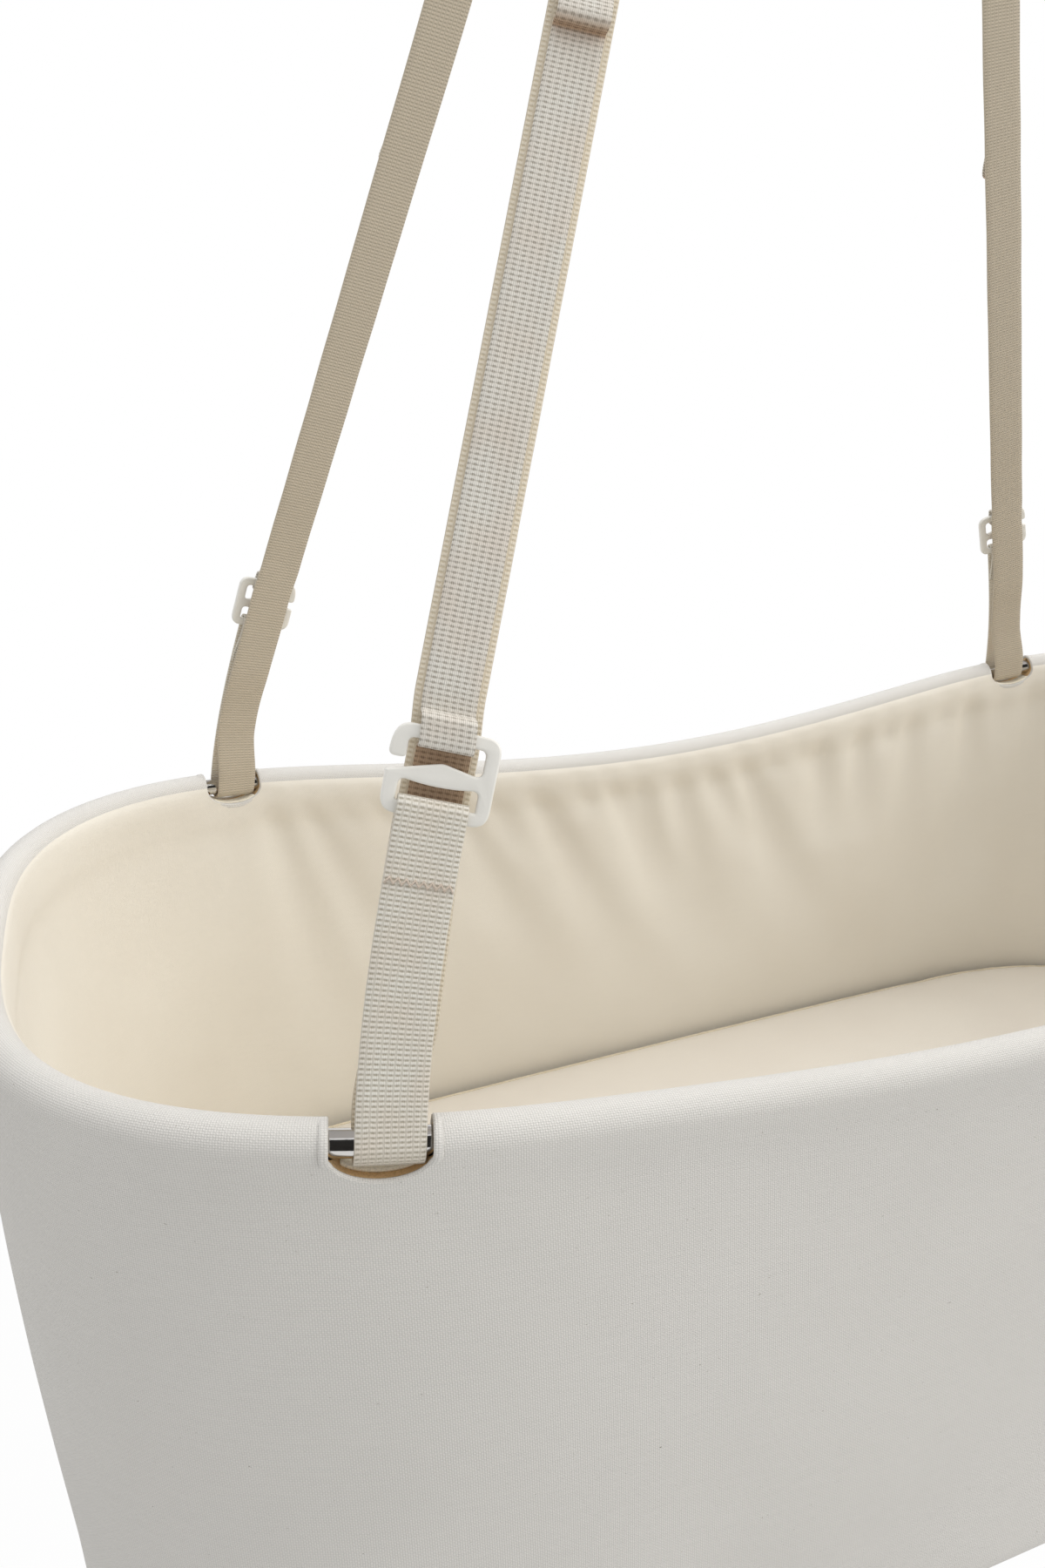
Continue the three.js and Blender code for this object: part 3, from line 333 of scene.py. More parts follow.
def make_webbing(name, face, gap, row, column, lean, dash, deep, body, crest, seam, strand, inner=None, paints_shade=False):
    """Ribs of warp bricks with a dark dash under each brick. The strap's inner run may take another colour, which is
    painted shade and warm light through the webbing, and the tape may take a painted brown shade from its shade map.
    """
    nodes = Nodes(name)
    cloth = nodes.cloth_map()
    sideways, down = nodes.axes(cloth)
    across = nodes.maths("MULTIPLY", sideways, 2 * math.pi / column)
    wander = nodes.noise(cloth, (500, 90, 1))
    ribs = nodes.maths("COSINE", nodes.scaled(wander, 1.7, nodes.maths("MULTIPLY", down, 2 * math.pi / row)))
    cell = nodes.maths("COSINE", across)
    strands = nodes.maths("COSINE", nodes.maths("MULTIPLY", across, 4.0))
    mark = nodes.between(nodes.scaled(cell, lean, nodes.maths("MULTIPLY", ribs, 1 - lean)), *dash)
    brick = nodes.maths("MULTIPLY", nodes.between(ribs, -0.5, 0.6), nodes.between(cell, 0.94, 0.5, 1 - seam, 1.0))
    height = nodes.scaled(mark, -deep, nodes.scaled(strands, strand, nodes.scaled(brick, crest, body)))
    fibre = nodes.noise(cloth, (4200, 700, 1))
    height = nodes.maths("ADD", height, nodes.between(fibre, 0.2, 0.8, -0.17, 0.17))
    worn = (0.98 * face[0], 0.93 * face[1], 0.9 * face[2], 1)
    tone = nodes.tones(nodes.noise(cloth, (60, 45, 1), 3), 0.35, 0.65, face, worn)
    # Painted shade and warm light through the webbing: the strap's inner run takes the inner colour.
    if inner:
        tone = nodes.tones(down, 0.148, 0.162, tone, inner)
    tone = nodes.tones(height, 0.0, 1.0, gap, tone)
    # Painted shade: the tape turns brown where its shade map says it lies behind the hook or under a loop.
    if paints_shade:
        painted_brown_shade = nodes.blend(1.0, tone, (0.64, 0.48, 0.36, 1), "MULTIPLY")
        tone = nodes.blend(nodes.axes(nodes.cloth_map("shade"))[0], tone, painted_brown_shade)
    return nodes.woven(tone, 0.88, nodes.bump(height, 0.0005, 0.6), 0.1, 0.25)


def make_hard(name, tones, grain, rough, relief, smear=None, **more):
    """Metal, coating or thread: a fine grain gives gloss and relief, and the tone drifts with it or a broad smear."""
    nodes = Nodes(name)
    place = nodes.place()
    fine = nodes.noise(place, *grain)
    broad = nodes.noise(place, *smear) if smear else fine
    tone = nodes.tones(broad, 0.3, 0.7, *tones)
    gloss = nodes.between(fine, *rough) if isinstance(rough, tuple) else rough
    return nodes.wear(Base_Color=tone, Roughness=gloss, Normal=nodes.bump(fine, *relief), **more)


def make_plywood():
    nodes = Nodes("birch_plywood")
    place = nodes.place()
    grain = nodes.noise(place, (6, 90, 90), 4, 0.6)
    plies = nodes.add("ShaderNodeTexWave", {"Vector": place, "Scale": 160.0, "Distortion": 0.6},
                      bands_direction="Z").outputs["Fac"]
    tone = nodes.tones(grain, 0.35, 0.65, rgb(190, 152, 104), rgb(214, 180, 132))
    tone = nodes.blend(nodes.maths("MULTIPLY", plies, 0.25), tone, rgb(150, 112, 72))
    return nodes.wear(Base_Color=tone, Roughness=0.55, Normal=nodes.bump(grain, 0.0002, 0.4))


CANVAS_CLOTH = make_canvas()
# The facing's tan is painted warm shade: light glowing through the canvas into the hem's dark pocket.
FACING_CLOTH_PAINTED_WARM_SHADE = make_edge_cloth("facing_cotton_painted_warm_shade", rgb(240, 205, 155), rgb(228, 190, 138))
# The lining's cream, painted lighter as a highlight on the notch's lip.
LIP_CLOTH_PAINTED_HIGHLIGHT = make_edge_cloth("lip_cotton_painted_highlight", rgb(253, 247, 230), rgb(250, 242, 222))
LINING_CLOTH = make_lining_cloth("lining_cotton", rgb(240, 235, 224), rgb(236, 230, 218), 0.0006)
MATTRESS_CLOTH = make_lining_cloth("mattress_cotton", rgb(238, 232, 221), rgb(233, 226, 215), 0.0007)
# Piping cloth in a darker tan than the pad: real piping, whose tan is painted shade for the line where the pad meets
# the lining.
PIPING_PAINTED_SEAM_SHADE = make_edge_cloth("piping_cotton_painted_seam_shade", rgb(230, 219, 196), rgb(222, 209, 184))
STRAP_WEAVE = {"row": 0.00172, "column": 0.0024, "lean": 0.3, "dash": (-0.3, -0.85), "body": 0.52, "seam": 0.8,
               "strand": 0.1}
# The inner colours are painted shade and light on the strap's rear run: a darker tan on this material, and on the back
# material a warm cream for light through the webbing.
STRAP_WEBBING = make_webbing("strap_webbing", rgb(240, 237, 228), rgb(172, 163, 145), deep=0.38, crest=0.42,
                             inner=rgb(211, 199, 180), **STRAP_WEAVE)
STRAP_BACK = make_webbing("strap_webbing_back", rgb(240, 237, 228), rgb(204, 189, 162), deep=0.3, crest=0.4,
                          inner=rgb(238, 228, 209), **STRAP_WEAVE)
TAPE_WEBBING = make_webbing("tape_webbing", rgb(243, 240, 232), rgb(158, 150, 137), row=0.00175, column=0.00264,
                            lean=0.34, dash=(0.0, -0.8), deep=0.5, body=0.7, crest=0.08, seam=0.0, strand=0.17,
                            paints_shade=True)
COATING = make_hard("white_powder_coat", (rgb(233, 231, 224), rgb(240, 238, 232)), (900, 3, 0.6),
                    (0.35, 0.65, 0.34, 0.46), (0.00012, 0.35), (60, 2), Specular_IOR_Level=0.5)
POLISH = make_hard("polished_steel", ((0.56, 0.55, 0.54, 1), (0.66, 0.65, 0.63, 1)), ((90, 2600, 2600), 3, 0.6),
                   (0.3, 0.75, 0.06, 0.16), (0.00002, 0.25), (45, 3), Metallic=1.0)
SATIN = make_hard("satin_steel", ((0.45, 0.45, 0.46, 1), (0.58, 0.58, 0.58, 1)), ((1800, 1800, 200), 3, 0.6),
                  (0.3, 0.7, 0.24, 0.38), (0.00004, 0.3), Metallic=1.0)
THREAD = make_hard("sewing_thread", (rgb(198, 181, 164), rgb(230, 217, 203)), (2600, 2), 0.8, (0.0002, 0.6),
                   Sheen_Weight=0.1)
PLYWOOD = make_plywood()


# Making and placing pieces

def opened(mesh):
    bm = bmesh.new()
    bm.from_mesh(mesh)
    return bm


def written(bm, mesh):
    bm.to_mesh(mesh)
    bm.free()
    return mesh


def mesh_from(bm, name):
    return written(bm, bpy.data.meshes.new(name))


def evaluated(thing):
    bpy.context.view_layer.update()
    return bpy.data.meshes.new_from_object(thing.evaluated_get(bpy.context.evaluated_depsgraph_get()))


def made_mesh(helper):
    """A helper's shape as a mesh. The helper goes."""
    mesh = evaluated(helper)
    bpy.data.objects.remove(helper)
    return mesh


def applied(piece):
    """The piece's mesh with its modifiers worked in."""
    mesh = evaluated(piece)
    piece.modifiers.clear()
    old = piece.data
    piece.data = mesh
    bpy.data.meshes.remove(old)
    return mesh


def crisp_edges(piece, degrees=40):
    """Smooth shading with crisp edges where faces turn sharply."""
    bm = opened(piece.data)
    for face in bm.faces:
        face.smooth = True
    for edge in bm.edges:
        if len(edge.link_faces) == 2:
            edge.smooth = edge.calc_face_angle(0) < math.radians(degrees)
    written(bm, piece.data)


def finish_piece(name, mesh, material, node=None, body="cradle", crisp=None):
    """Takes a mesh into the scene, with its own materials if none is given. Edges above the crisp angle stay sharp."""
    piece = in_scene(name, mesh)
    if material:
        mesh.materials.clear()
        mesh.materials.append(material)
    for face in mesh.polygons:
        face.use_smooth = True
    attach(piece, body)
    if node:
        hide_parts(node)
    if crisp:
        crisp_edges(piece, crisp)
    return piece


def break_edges(bm, width, degrees=35):
    sharp = [edge for edge in bm.edges if edge.calc_face_angle(0) > math.radians(degrees)]
    bmesh.ops.bevel(bm, geom=sharp, offset=width, affect="EDGES", segments=3, profile=0.5, material=-1)


def merged(mesh, distance):
    bm = opened(mesh)
    bmesh.ops.remove_doubles(bm, verts=bm.verts, dist=distance)
    bmesh.ops.recalc_face_normals(bm, faces=bm.faces)
    return bm


def line_curve(name, lines, dimensions, closed):
    curve = bpy.data.curves.new(name, "CURVE")
    curve.dimensions = dimensions
    for line in lines:
        spline = curve.splines.new("POLY")
        spline.points.add(len(line) - 1)
        for point, place in zip(spline.points, line):
            point.co = (*place, 1)
        spline.use_cyclic_u = closed
    return curve


def rod_mesh(points, radius, closed=False, sides=4, ends=0.0):
    """A round rod along a smooth line of points."""
    curve = line_curve("rod", [points], "3D", closed)
    curve.bevel_depth = radius
    curve.bevel_resolution = sides
    curve.use_fill_caps = not closed
    mesh = made_mesh(in_scene("rod", curve))
    bm = merged(mesh, 1e-7)
    if ends:
        break_edges(bm, ends, 60)
    return written(bm, mesh)


def spun(points, steps):
    """A line of points spun round the upright axis."""
    bm = bmesh.new()
    spots = [bm.verts.new(point) for point in points]
    edges = [bm.edges.new(pair) for pair in zip(spots, spots[1:])]
    bmesh.ops.spin(bm, geom=spots + edges, axis=(0, 0, 1), angle=2 * math.pi, steps=steps, use_merge=True)
    bmesh.ops.remove_doubles(bm, verts=bm.verts, dist=1e-6)
    return bm


def turned_mesh(profile, steps=64, eased=0.0):
    """A turned part, from a profile of (radius, height) points."""
    bm = spun([(radius, 0, up) for radius, up in profile], steps)
    bmesh.ops.recalc_face_normals(bm, faces=bm.faces)
    if eased:
        break_edges(bm, eased)
    return mesh_from(bm, "turned")


def stepped(*steps):
    """The profile of a turned part with (radius, low, high) steps, one on the other."""
    profile = [(0, steps[0][1])]
    for radius, low, high in steps:
        profile += [(radius, low), (radius, high)]
    return profile + [(0, steps[-1][2])]


def block_mesh(size, middle, eased=0.0):
    bm = bmesh.new()
    bmesh.ops.create_cube(bm, size=1)
    bmesh.ops.scale(bm, verts=bm.verts, vec=size)
    bmesh.ops.translate(bm, verts=bm.verts, vec=middle)
    if eased:
        break_edges(bm, eased)
    return mesh_from(bm, "block")


def combine(piece, tool, operation):
    boolean = piece.modifiers.new(operation.lower(), "BOOLEAN")
    boolean.operation = operation
    boolean.solver = "EXACT"
    boolean.object = tool


def joined(base, added=(), cut=()):
    """One solid: the base with the added meshes joined on and the cut ones taken out."""
    helper = in_scene("base", base)
    tools = []
    for operation, meshes in (("UNION", added), ("DIFFERENCE", cut)):
        for mesh in meshes:
            tools.append(in_scene("tool", mesh))
            combine(helper, tools[-1], operation)
    mesh = made_mesh(helper)
    for tool in tools:
        bpy.data.objects.remove(tool)
    return mesh


def thicken(piece, thickness, offset, taper=0.0):
    """Gives the sheet its thickness, which thins away towards its last edge over the taper's length."""
    solid = piece.modifiers.new("thickness", "SOLIDIFY")
    if taper:
        downs = [item.value for item in piece.data.attributes["down"].data]
        end = max(downs)
        full = piece.vertex_groups.new(name="full")
        for index, down in enumerate(downs):
            full.add([index], min(max((end - down) / taper, 0.04), 1), "REPLACE")
        solid.vertex_group = full.name
    solid.thickness = thickness
    solid.offset = offset
    solid.use_even_offset = True
    applied(piece)


# The rim's plan and height

def rim_width(x):
    along = abs(x)
    end_share = unit((along - RIM_STRAIGHT_HALF) / (RIM_HALF_LENGTH - RIM_STRAIGHT_HALF))
    bowed = RIM_HALF_WIDTH - RIM_SIDE_BOW * (along / RIM_HALF_LENGTH) ** 2
    return bowed * (1 - end_share ** RIM_ROUNDNESS) ** (1 / RIM_ROUNDNESS)


def rim_lift(x):
    def phase(at):
        return math.cos(math.pi * min(abs(at) / RIM_HALF_LENGTH, 1))
    return RIM_WAVE * (phase(NOTCH_X) - phase(x)) / 2


def rim_point(share):
    """The tube's middle at a share of the way round, from the front's middle."""
    turn = share % 1 * 4
    quarter = min(int(turn), 3)
    part = turn - quarter
    towards_end = part if quarter % 2 == 0 else 1 - part
    x = RIM_STRAIGHT_HALF * towards_end / STRAIGHT_STEP_SHARE
    if towards_end > STRAIGHT_STEP_SHARE:
        angle = (towards_end - STRAIGHT_STEP_SHARE) / (1 - STRAIGHT_STEP_SHARE) * math.pi / 2
        reach = RIM_HALF_LENGTH - RIM_STRAIGHT_HALF
        x = RIM_STRAIGHT_HALF + reach * math.sin(angle) ** (2 / RIM_ROUNDNESS)
    sign_x = 1 if quarter < 2 else -1
    sign_y = -1 if quarter in (0, 3) else 1
    return Vector((sign_x * x, sign_y * rim_width(x), rim_lift(x)))


def rim_stations(count):
    """Even places round the rim: the tube's middle and the level way out. The first is the front's middle."""
    fine = 8000
    line = [rim_point(i / fine) for i in range(fine + 1)]
    lengths = [0.0]
    for before, after in zip(line, line[1:]):
        lengths.append(lengths[-1] + (after - before).length)
    centres, at = [], 0
    for i in range(count):
        goal = lengths[-1] * i / count
        while lengths[at + 1] < goal:
            at += 1
        share = (goal - lengths[at]) / (lengths[at + 1] - lengths[at])
        centres.append(line[at].lerp(line[at + 1], share))
    stations = []
    for i, centre in enumerate(centres):
        run = centres[(i + 1) % count] - centres[i - 1]
        stations.append((centre, Vector((run.y, -run.x, 0)).normalized()))
    return stations


def lay_round_rim(profile, count, shift=None):
    """Spins a profile of (outwards, up) points and lays it round the rim as one sheet, with its cloth map."""
    stations = rim_stations(count)
    bm = spun([(0, -(RIM_HALF_WIDTH + out), up) for out, up in profile], count)
    run, downs = 0.0, {}
    for before, after in zip([profile[0]] + profile, profile):
        run += math.dist(before, after)
        downs[(round(RIM_HALF_WIDTH + after[0], 6), round(after[1], 6))] = run
    down_layer = bm.verts.layers.float.new("down")
    along_layer = bm.verts.layers.float.new("along")
    wall_radius = RIM_HALF_WIDTH - WALL_BAND
    for vert in bm.verts:
        x, y, up = vert.co
        radius = math.hypot(x, y)
        index = round((math.atan2(y, x) / (2 * math.pi) + 0.25) % 1 * count) % count
        down = downs.get((round(radius, 6), round(up, 6)))
        if down is None:
            down = min(downs.items(), key=lambda item: math.dist(item[0], (radius, up)))[1]
        centre, outward = stations[index]
        in_wall = radius >= wall_radius - 1e-7
        out = radius - RIM_HALF_WIDTH if in_wall else -WALL_BAND
        if in_wall and shift:
            out += shift(centre, outward, up)
        part = 1 if in_wall else radius / wall_radius
        rise = up + centre.z * unit(1 - up / MATTRESS_TOP) * part + RIM_LEVEL
        vert.co = ((centre.x + outward.x * out) * part, (centre.y + outward.y * out) * part, rise)
        vert[down_layer] = down
        vert[along_layer] = index / count
    cloth = bm.loops.layers.uv.new("cloth")
    for face in bm.faces:
        shares = [loop.vert[along_layer] for loop in face.loops]
        wraps = max(shares) - min(shares) > 0.5
        for loop, share in zip(face.loops, shares):
            if wraps and share < 0.5:
                share += 1
            loop[cloth].uv = (share * PERIMETER, loop.vert[down_layer])
    return bm


def flat_floor(level, reaches, outs):
    """A floor's profile, from its middle to its round edge."""
    return ([(-RIM_HALF_WIDTH, level)] + [(-RIM_HALF_WIDTH + reach, level) for reach in reaches]
            + [(-out, level) for out in outs])


def arc(out, up, radius, start, end, count):
    turns = [math.radians(angle) for angle in spread(start, end, count + 1)]
    return [(out + radius * math.cos(turn), up + radius * math.sin(turn)) for turn in turns]


def rim_sheet(node, profile, count, shift, material, thickness, taper=0.0):
    """A thick sheet round the rim, with its face outwards."""
    bm = lay_round_rim(profile, count, shift)
    bmesh.ops.recalc_face_normals(bm, faces=bm.faces)
    outside = Vector((0, -1, RIM_LEVEL - 0.15))
    near = min(bm.faces, key=lambda face: (face.calc_center_median() - outside).length)
    if near.normal.dot(outside - near.calc_center_median()) < 0:
        bmesh.ops.reverse_faces(bm, faces=bm.faces)
    name = f"{node}_cloth"
    piece = finish_piece(name, mesh_from(bm, name), material, node)
    thicken(piece, thickness, -1, taper)
    return piece


def rim_place(side, along, offset=0.0):
    """Where a strap goes round the tube: its middle, the way the tube runs and the level way out."""
    x = NOTCH_X - offset
    step = 4e-6

    def outline(at):
        return Vector((along * at, side * rim_width(at), rim_lift(at)))
    tangent = ((outline(x + step) - outline(x - step)) * (-side * along)).normalized()
    return outline(x), tangent, Vector((tangent.y, -tangent.x, 0)).normalized()


def notch_outline():
    """The notch's U, across and up from the tube's middle."""
    half, high = NOTCH_WIDTH / 2, NOTCH_HEIGHT
    round_part = [(half * math.cos(angle), -NOTCH_DEPTH * math.sin(angle)) for angle in spread(0, math.pi, 15)]
    return [(half, high), (half, high / 2), *round_part, (-half, high / 2), (-half, high)]


def cut_notches(*pieces):
    bm = bmesh.new()
    for _, side, along in CORNERS:
        centre, tangent, outward = rim_place(side, along)
        up = outward.cross(tangent)
        face = bm.faces.new([bm.verts.new(centre + tangent * across + up * rise - outward * 0.016 + LIFT)
                             for across, rise in notch_outline()])
        grown = bmesh.ops.extrude_face_region(bm, geom=[face])
        far_end = [item for item in grown["geom"] if isinstance(item, bmesh.types.BMVert)]
        bmesh.ops.translate(bm, verts=far_end, vec=outward * 0.03)
    bmesh.ops.recalc_face_normals(bm, faces=bm.faces)
    cutter = in_scene("notch_cutter", mesh_from(bm, "notch_cutter"))
    for piece in pieces:
        combine(piece, cutter, "DIFFERENCE")
        applied(piece)
    bpy.data.objects.remove(cutter)


# Canvas bowl

def notch_pull(x, up):
    """How the canvas is drawn in below each notch, with two soft creases that run from it."""
    pull = 0.0
    down = -up - HEM_DEPTH
    for side in (-1, 1):
        run = x * side - NOTCH_X
        if down > 0 and abs(run) < 0.12:
            fade = math.exp(-down / 0.05)
            pull += 0.0012 * fade * math.exp(-(run / 0.03) ** 2) * min(down / 0.01, 1)
            for lean in (-0.75, 0.6):
                aside = run - lean * (down + HEM_DEPTH)
                pull += 0.0009 * fade * min(down / 0.012, 1) * math.exp(-(aside / 0.009) ** 2)
    return pull


def bowl_shift(centre, outward, up):
    """Soft unevenness of the stretched canvas, and small puckers under the rim."""
    wall = unit((-up - 0.03) / 0.05) * unit((BOWL_DEPTH + up - 0.03) / 0.04)
    uneven = 0.0022 * unevenness(centre, up, 4.2, 5, 3) + 0.0005 * unevenness(centre, up, 18, 9, 8)
    near_rim = math.exp(-((up + 0.024) / 0.012) ** 2)
    flat_side = unit(abs(outward.y) * 3 - 1.5)
    return (wall * uneven + 0.0003 * near_rim * unevenness(centre, up, 62, 14)
            - flat_side * notch_pull(centre.x, up))


def make_bowl():
    corner = (WALL_OFFSET - BOWL_CORNER, -BOWL_DEPTH + BOWL_CORNER)
    low, high = corner[1], -HEM_DEPTH
    profile = flat_floor(-BOWL_DEPTH, (0.03, 0.07, 0.11), (0.06, 0.045, 0.032))
    profile += arc(*corner, BOWL_CORNER, -90, 0, 8)[:3]
    profile += arc(*corner, BOWL_CORNER, -64, -56, 2)[:1]
    profile += arc(*corner, BOWL_CORNER - 0.0009, -60, -60, 1)[:1]
    profile += arc(*corner, BOWL_CORNER, -56, 0, 6)
    for up in spread(low, high, 27)[1:-1]:
        share = (up - low) / (high - low)
        profile.append((WALL_OFFSET + BOWL_BULGE * math.sin(math.pi * share), up))
    profile += [(WALL_OFFSET, -HEM_DEPTH), (WALL_OFFSET + 0.0003, -0.014), (LIP_RADIUS - 0.0005, -0.0065)]
    profile += arc(0, 0, LIP_RADIUS, 0, 180, 14)
    profile += [(-LIP_RADIUS, -0.004), (-LIP_RADIUS, -0.0085)]
    return rim_sheet("canvas_bowl", profile, 300, bowl_shift, CANVAS_CLOTH, CANVAS)


# Lining

# Pinches under the rim on the long back side: place along the rim, lean, length and strength.
PINCHES = [
    (-0.294, 0.19, 0.26, 0.8), (-0.271, 0.33, 0.13, 0.7), (-0.251, 0.35, 0.03, 0.5), (-0.230, 0.6, 0.045, 0.5),
    (-0.200, 0.45, 0.1, 0.5), (-0.172, 0.4, 0.16, 0.75), (-0.143, 0.4, 0.06, 0.55), (-0.108, 0.4, 0.2, 0.9),
    (-0.072, 0.35, 0.035, 0.65), (-0.049, 0.45, 0.17, 1.0), (-0.024, 0.2, 0.13, 0.9), (0.009, 0.16, 0.22, 0.85),
    (0.031, 0.45, 0.08, 0.75), (0.062, 0.36, 0.25, 1.0), (0.085, 0.3, 0.03, 0.6), (0.112, 0.4, 0.035, 0.6),
    (0.134, 0.12, 0.09, 0.95), (0.173, 0.05, 0.09, 0.95), (0.195, 0.15, 0.035, 0.6), (0.222, 0.0, 0.16, 0.75),
    (0.251, 0.0, 0.03, 0.6), (0.277, 0.06, 0.22, 1.0), (0.306, -0.05, 0.05, 0.4), (0.335, 0.03, 0.19, 0.7),
]


def pinched(x, depth):
    """How far the pinches hold the lining to its wall, from 0 to 1."""
    held = 0.0
    width = 0.0068 + 0.088 * depth
    for start, lean, length, strength in PINCHES:
        length *= 1.3
        aside = x - start - lean * depth
        if depth < length and abs(aside) < 3 * width:
            held += strength ** 1.5 * (1 - (depth / length) ** 2.6) * math.exp(-(aside / width) ** 2)
    return 1 - math.exp(-1.3 * held)


def lining_shift(centre, outward, up):
    """The lining swells out from its seam to the canvas in leaning folds, which the pinches hold in between."""
    depth = LINING_TOP_RISE - up
    reach = LINING_TOP_RISE - MATTRESS_TOP
    if depth <= 0 or depth > reach - 0.004:
        return 0
    x = centre.x if centre.y > 0 else 0.02 - 0.96 * centre.x
    flat_side = unit((abs(outward.y) - 0.35) / 0.4)
    gather = FOLD * flat_side * ease((depth - FOLD_START) / 0.02) * (1 - ease((depth - 0.1) / (reach - 0.11)))
    foot = ease((reach - depth) / 0.05)
    swell = 0.002 * (unevenness(centre, up, 9, 7, 2) + 0.3) + 0.0006 * unevenness(centre, up, 30, 16, 5)
    loose = ease((depth - FOLD_START) / 0.03) * foot * max(swell, 0)
    beside_notch = unit((abs(abs(x) - NOTCH_X) - 0.02) / 0.012)
    brow = 0.0011 * flat_side * beside_notch * ease(depth / 0.005) * (1 - ease((depth - 0.009) / 0.014))
    held = pinched(x, depth)
    return gather * held + loose - brow * (1 - held)


def make_lining():
    seam = -LIP_RADIUS - GAP
    low, high = LINING_FLOOR + LINING_CORNER, -HEM_DEPTH - 0.01
    profile = flat_floor(LINING_FLOOR, (0.04, 0.09), (0.06, 0.04, 0.022))
    profile += arc(LINING_OFFSET - LINING_CORNER, low, LINING_CORNER, -90, 0, 4)
    profile += [(LINING_OFFSET, up) for up in spread(low, high, 43)[1:]]
    profile += [(seam + 0.0006, -HEM_DEPTH - 0.005), (seam, -HEM_DEPTH - 0.0005)]
    profile += [(seam, -HEM_DEPTH * share) for share in (0.85, 0.7, 0.55, 0.4, 0.25, 0.12)]
    profile += [(seam, -0.0006), (seam + 0.0004, 0.001), (seam + 0.0011, 0.0024), (seam + 0.0021, 0.0035)]
    return rim_sheet("lining", profile, 640, lining_shift, LINING_CLOTH, LINING, LINING_TAPER)


# Mattress

def make_mattress():
    """The pad is puffed up by a short cloth simulation, then its two seams are piped."""
    low, top, edge = MATTRESS_LOW + 0.001, MATTRESS_TOP - 0.002, MATTRESS_EDGE
    corner_out = edge - MATTRESS_CORNER
    profile = flat_floor(low, (0.05, 0.1), (0.06, 0.02 - edge))
    profile += arc(corner_out, low + MATTRESS_CORNER, MATTRESS_CORNER, -90, 0, 4)
    profile += [(edge, (low + top) / 2)]
    profile += arc(corner_out, top - MATTRESS_CORNER, MATTRESS_CORNER, 0, 90, 4)
    profile += [(edge - 0.025, top + 0.0004), (-0.06, top + 0.001), (-0.1, top + 0.002), (-RIM_HALF_WIDTH, top + 0.003)]
    bm = lay_round_rim(profile, 200)
    bmesh.ops.recalc_face_normals(bm, faces=bm.faces)
    mesh = mesh_from(bm, "mattress_pad")
    mesh = puffed(mesh, 0.005, 4.0, 0.002)
    bm = opened(mesh)
    for vert in bm.verts:
        vert.co.z = max(vert.co.z, MATTRESS_LOW + RIM_LEVEL + 0.0004)
    bm.normal_update()
    cloth = bm.loops.layers.uv.get("cloth") or bm.loops.layers.uv.new("cloth")
    for face in bm.faces:
        lie = [abs(value) for value in face.normal]
        flat = lie.index(max(lie))
        for loop in face.loops:
            spot = loop.vert.co
            loop[cloth].uv = (spot.y if flat == 0 else spot.x, spot.y if flat == 2 else spot.z)
    tree = BVHTree.FromBMesh(bm)
    pad = finish_piece("mattress_pad", written(bm, mesh), MATTRESS_CLOTH, "mattress", "mattress")
    for name, level in (("upper", top + 0.005), ("lower", low + 0.004)):
        points = []
        for centre, outward in rim_stations(260):
            seek = centre + outward * (edge + 0.006)
            spot, normal, _, _ = tree.find_nearest(Vector((seek.x, seek.y, level + RIM_LEVEL)))
            points.append(spot + normal * 0.0003)
        finish_piece(f"mattress_piping_{name}", rod_mesh(points, PIPING_RADIUS, closed=True, sides=3), PIPING_PAINTED_SEAM_SHADE,
                     body="mattress")


def puffed(mesh, voxel, pressure, cap):
    """Swells a pad with a short cloth simulation. No point moves further than the cap."""
    helper = in_scene("pad", mesh)
    remesh = helper.modifiers.new("even", "REMESH")
    remesh.mode = "VOXEL"
    remesh.voxel_size = voxel
    start = [vert.co.copy() for vert in applied(helper).vertices]
    cloth = helper.modifiers.new("cloth", "CLOTH")
    cloth.settings.use_pressure = True
    cloth.settings.uniform_pressure_force = pressure
    cloth.settings.effector_weights.gravity = 0
    cloth.settings.tension_stiffness = 20
    cloth.settings.quality = 4
    cloth.point_cache.frame_start = 1
    cloth.point_cache.frame_end = 20
    for step in range(1, 21):
        bpy.context.scene.frame_set(step)
    swollen = applied(helper)
    bpy.context.scene.frame_set(1)
    for vert, before in zip(swollen.vertices, start):
        move = vert.co - before
        if move.length > cap:
            vert.co = before + move * (cap / move.length)
    bm = opened(swollen)
    bmesh.ops.smooth_vert(bm, verts=bm.verts, factor=0.5, use_axis_x=True, use_axis_y=True, use_axis_z=True)
    bmesh.ops.recalc_face_normals(bm, faces=bm.faces)
    bpy.data.objects.remove(helper)
    return written(bm, swollen)


# Notch edges

def roll_out(rise, inner):
    """How far out the hem's surface lies at a height above the tube's middle."""
    if inner and rise < LINING_TOP_RISE:
        return -LIP_RADIUS - GAP - LINING * min((0.0035 - rise) / LINING_TAPER, 1)
    if rise > -0.0045:
        out = math.sqrt(max(LIP_RADIUS ** 2 - rise ** 2, 0))
    else:
        out = 0.00733 - 0.0003 * min((-0.0045 - rise) / 0.01, 1)
    return -out if inner else out


def skin(bm, lines):
    """Faces between neighbouring lines of points."""
    for line, after in zip(lines, lines[1:]):
        for i in range(len(line) - 1):
            bm.faces.new((line[i], line[i + 1], after[i + 1], after[i]))


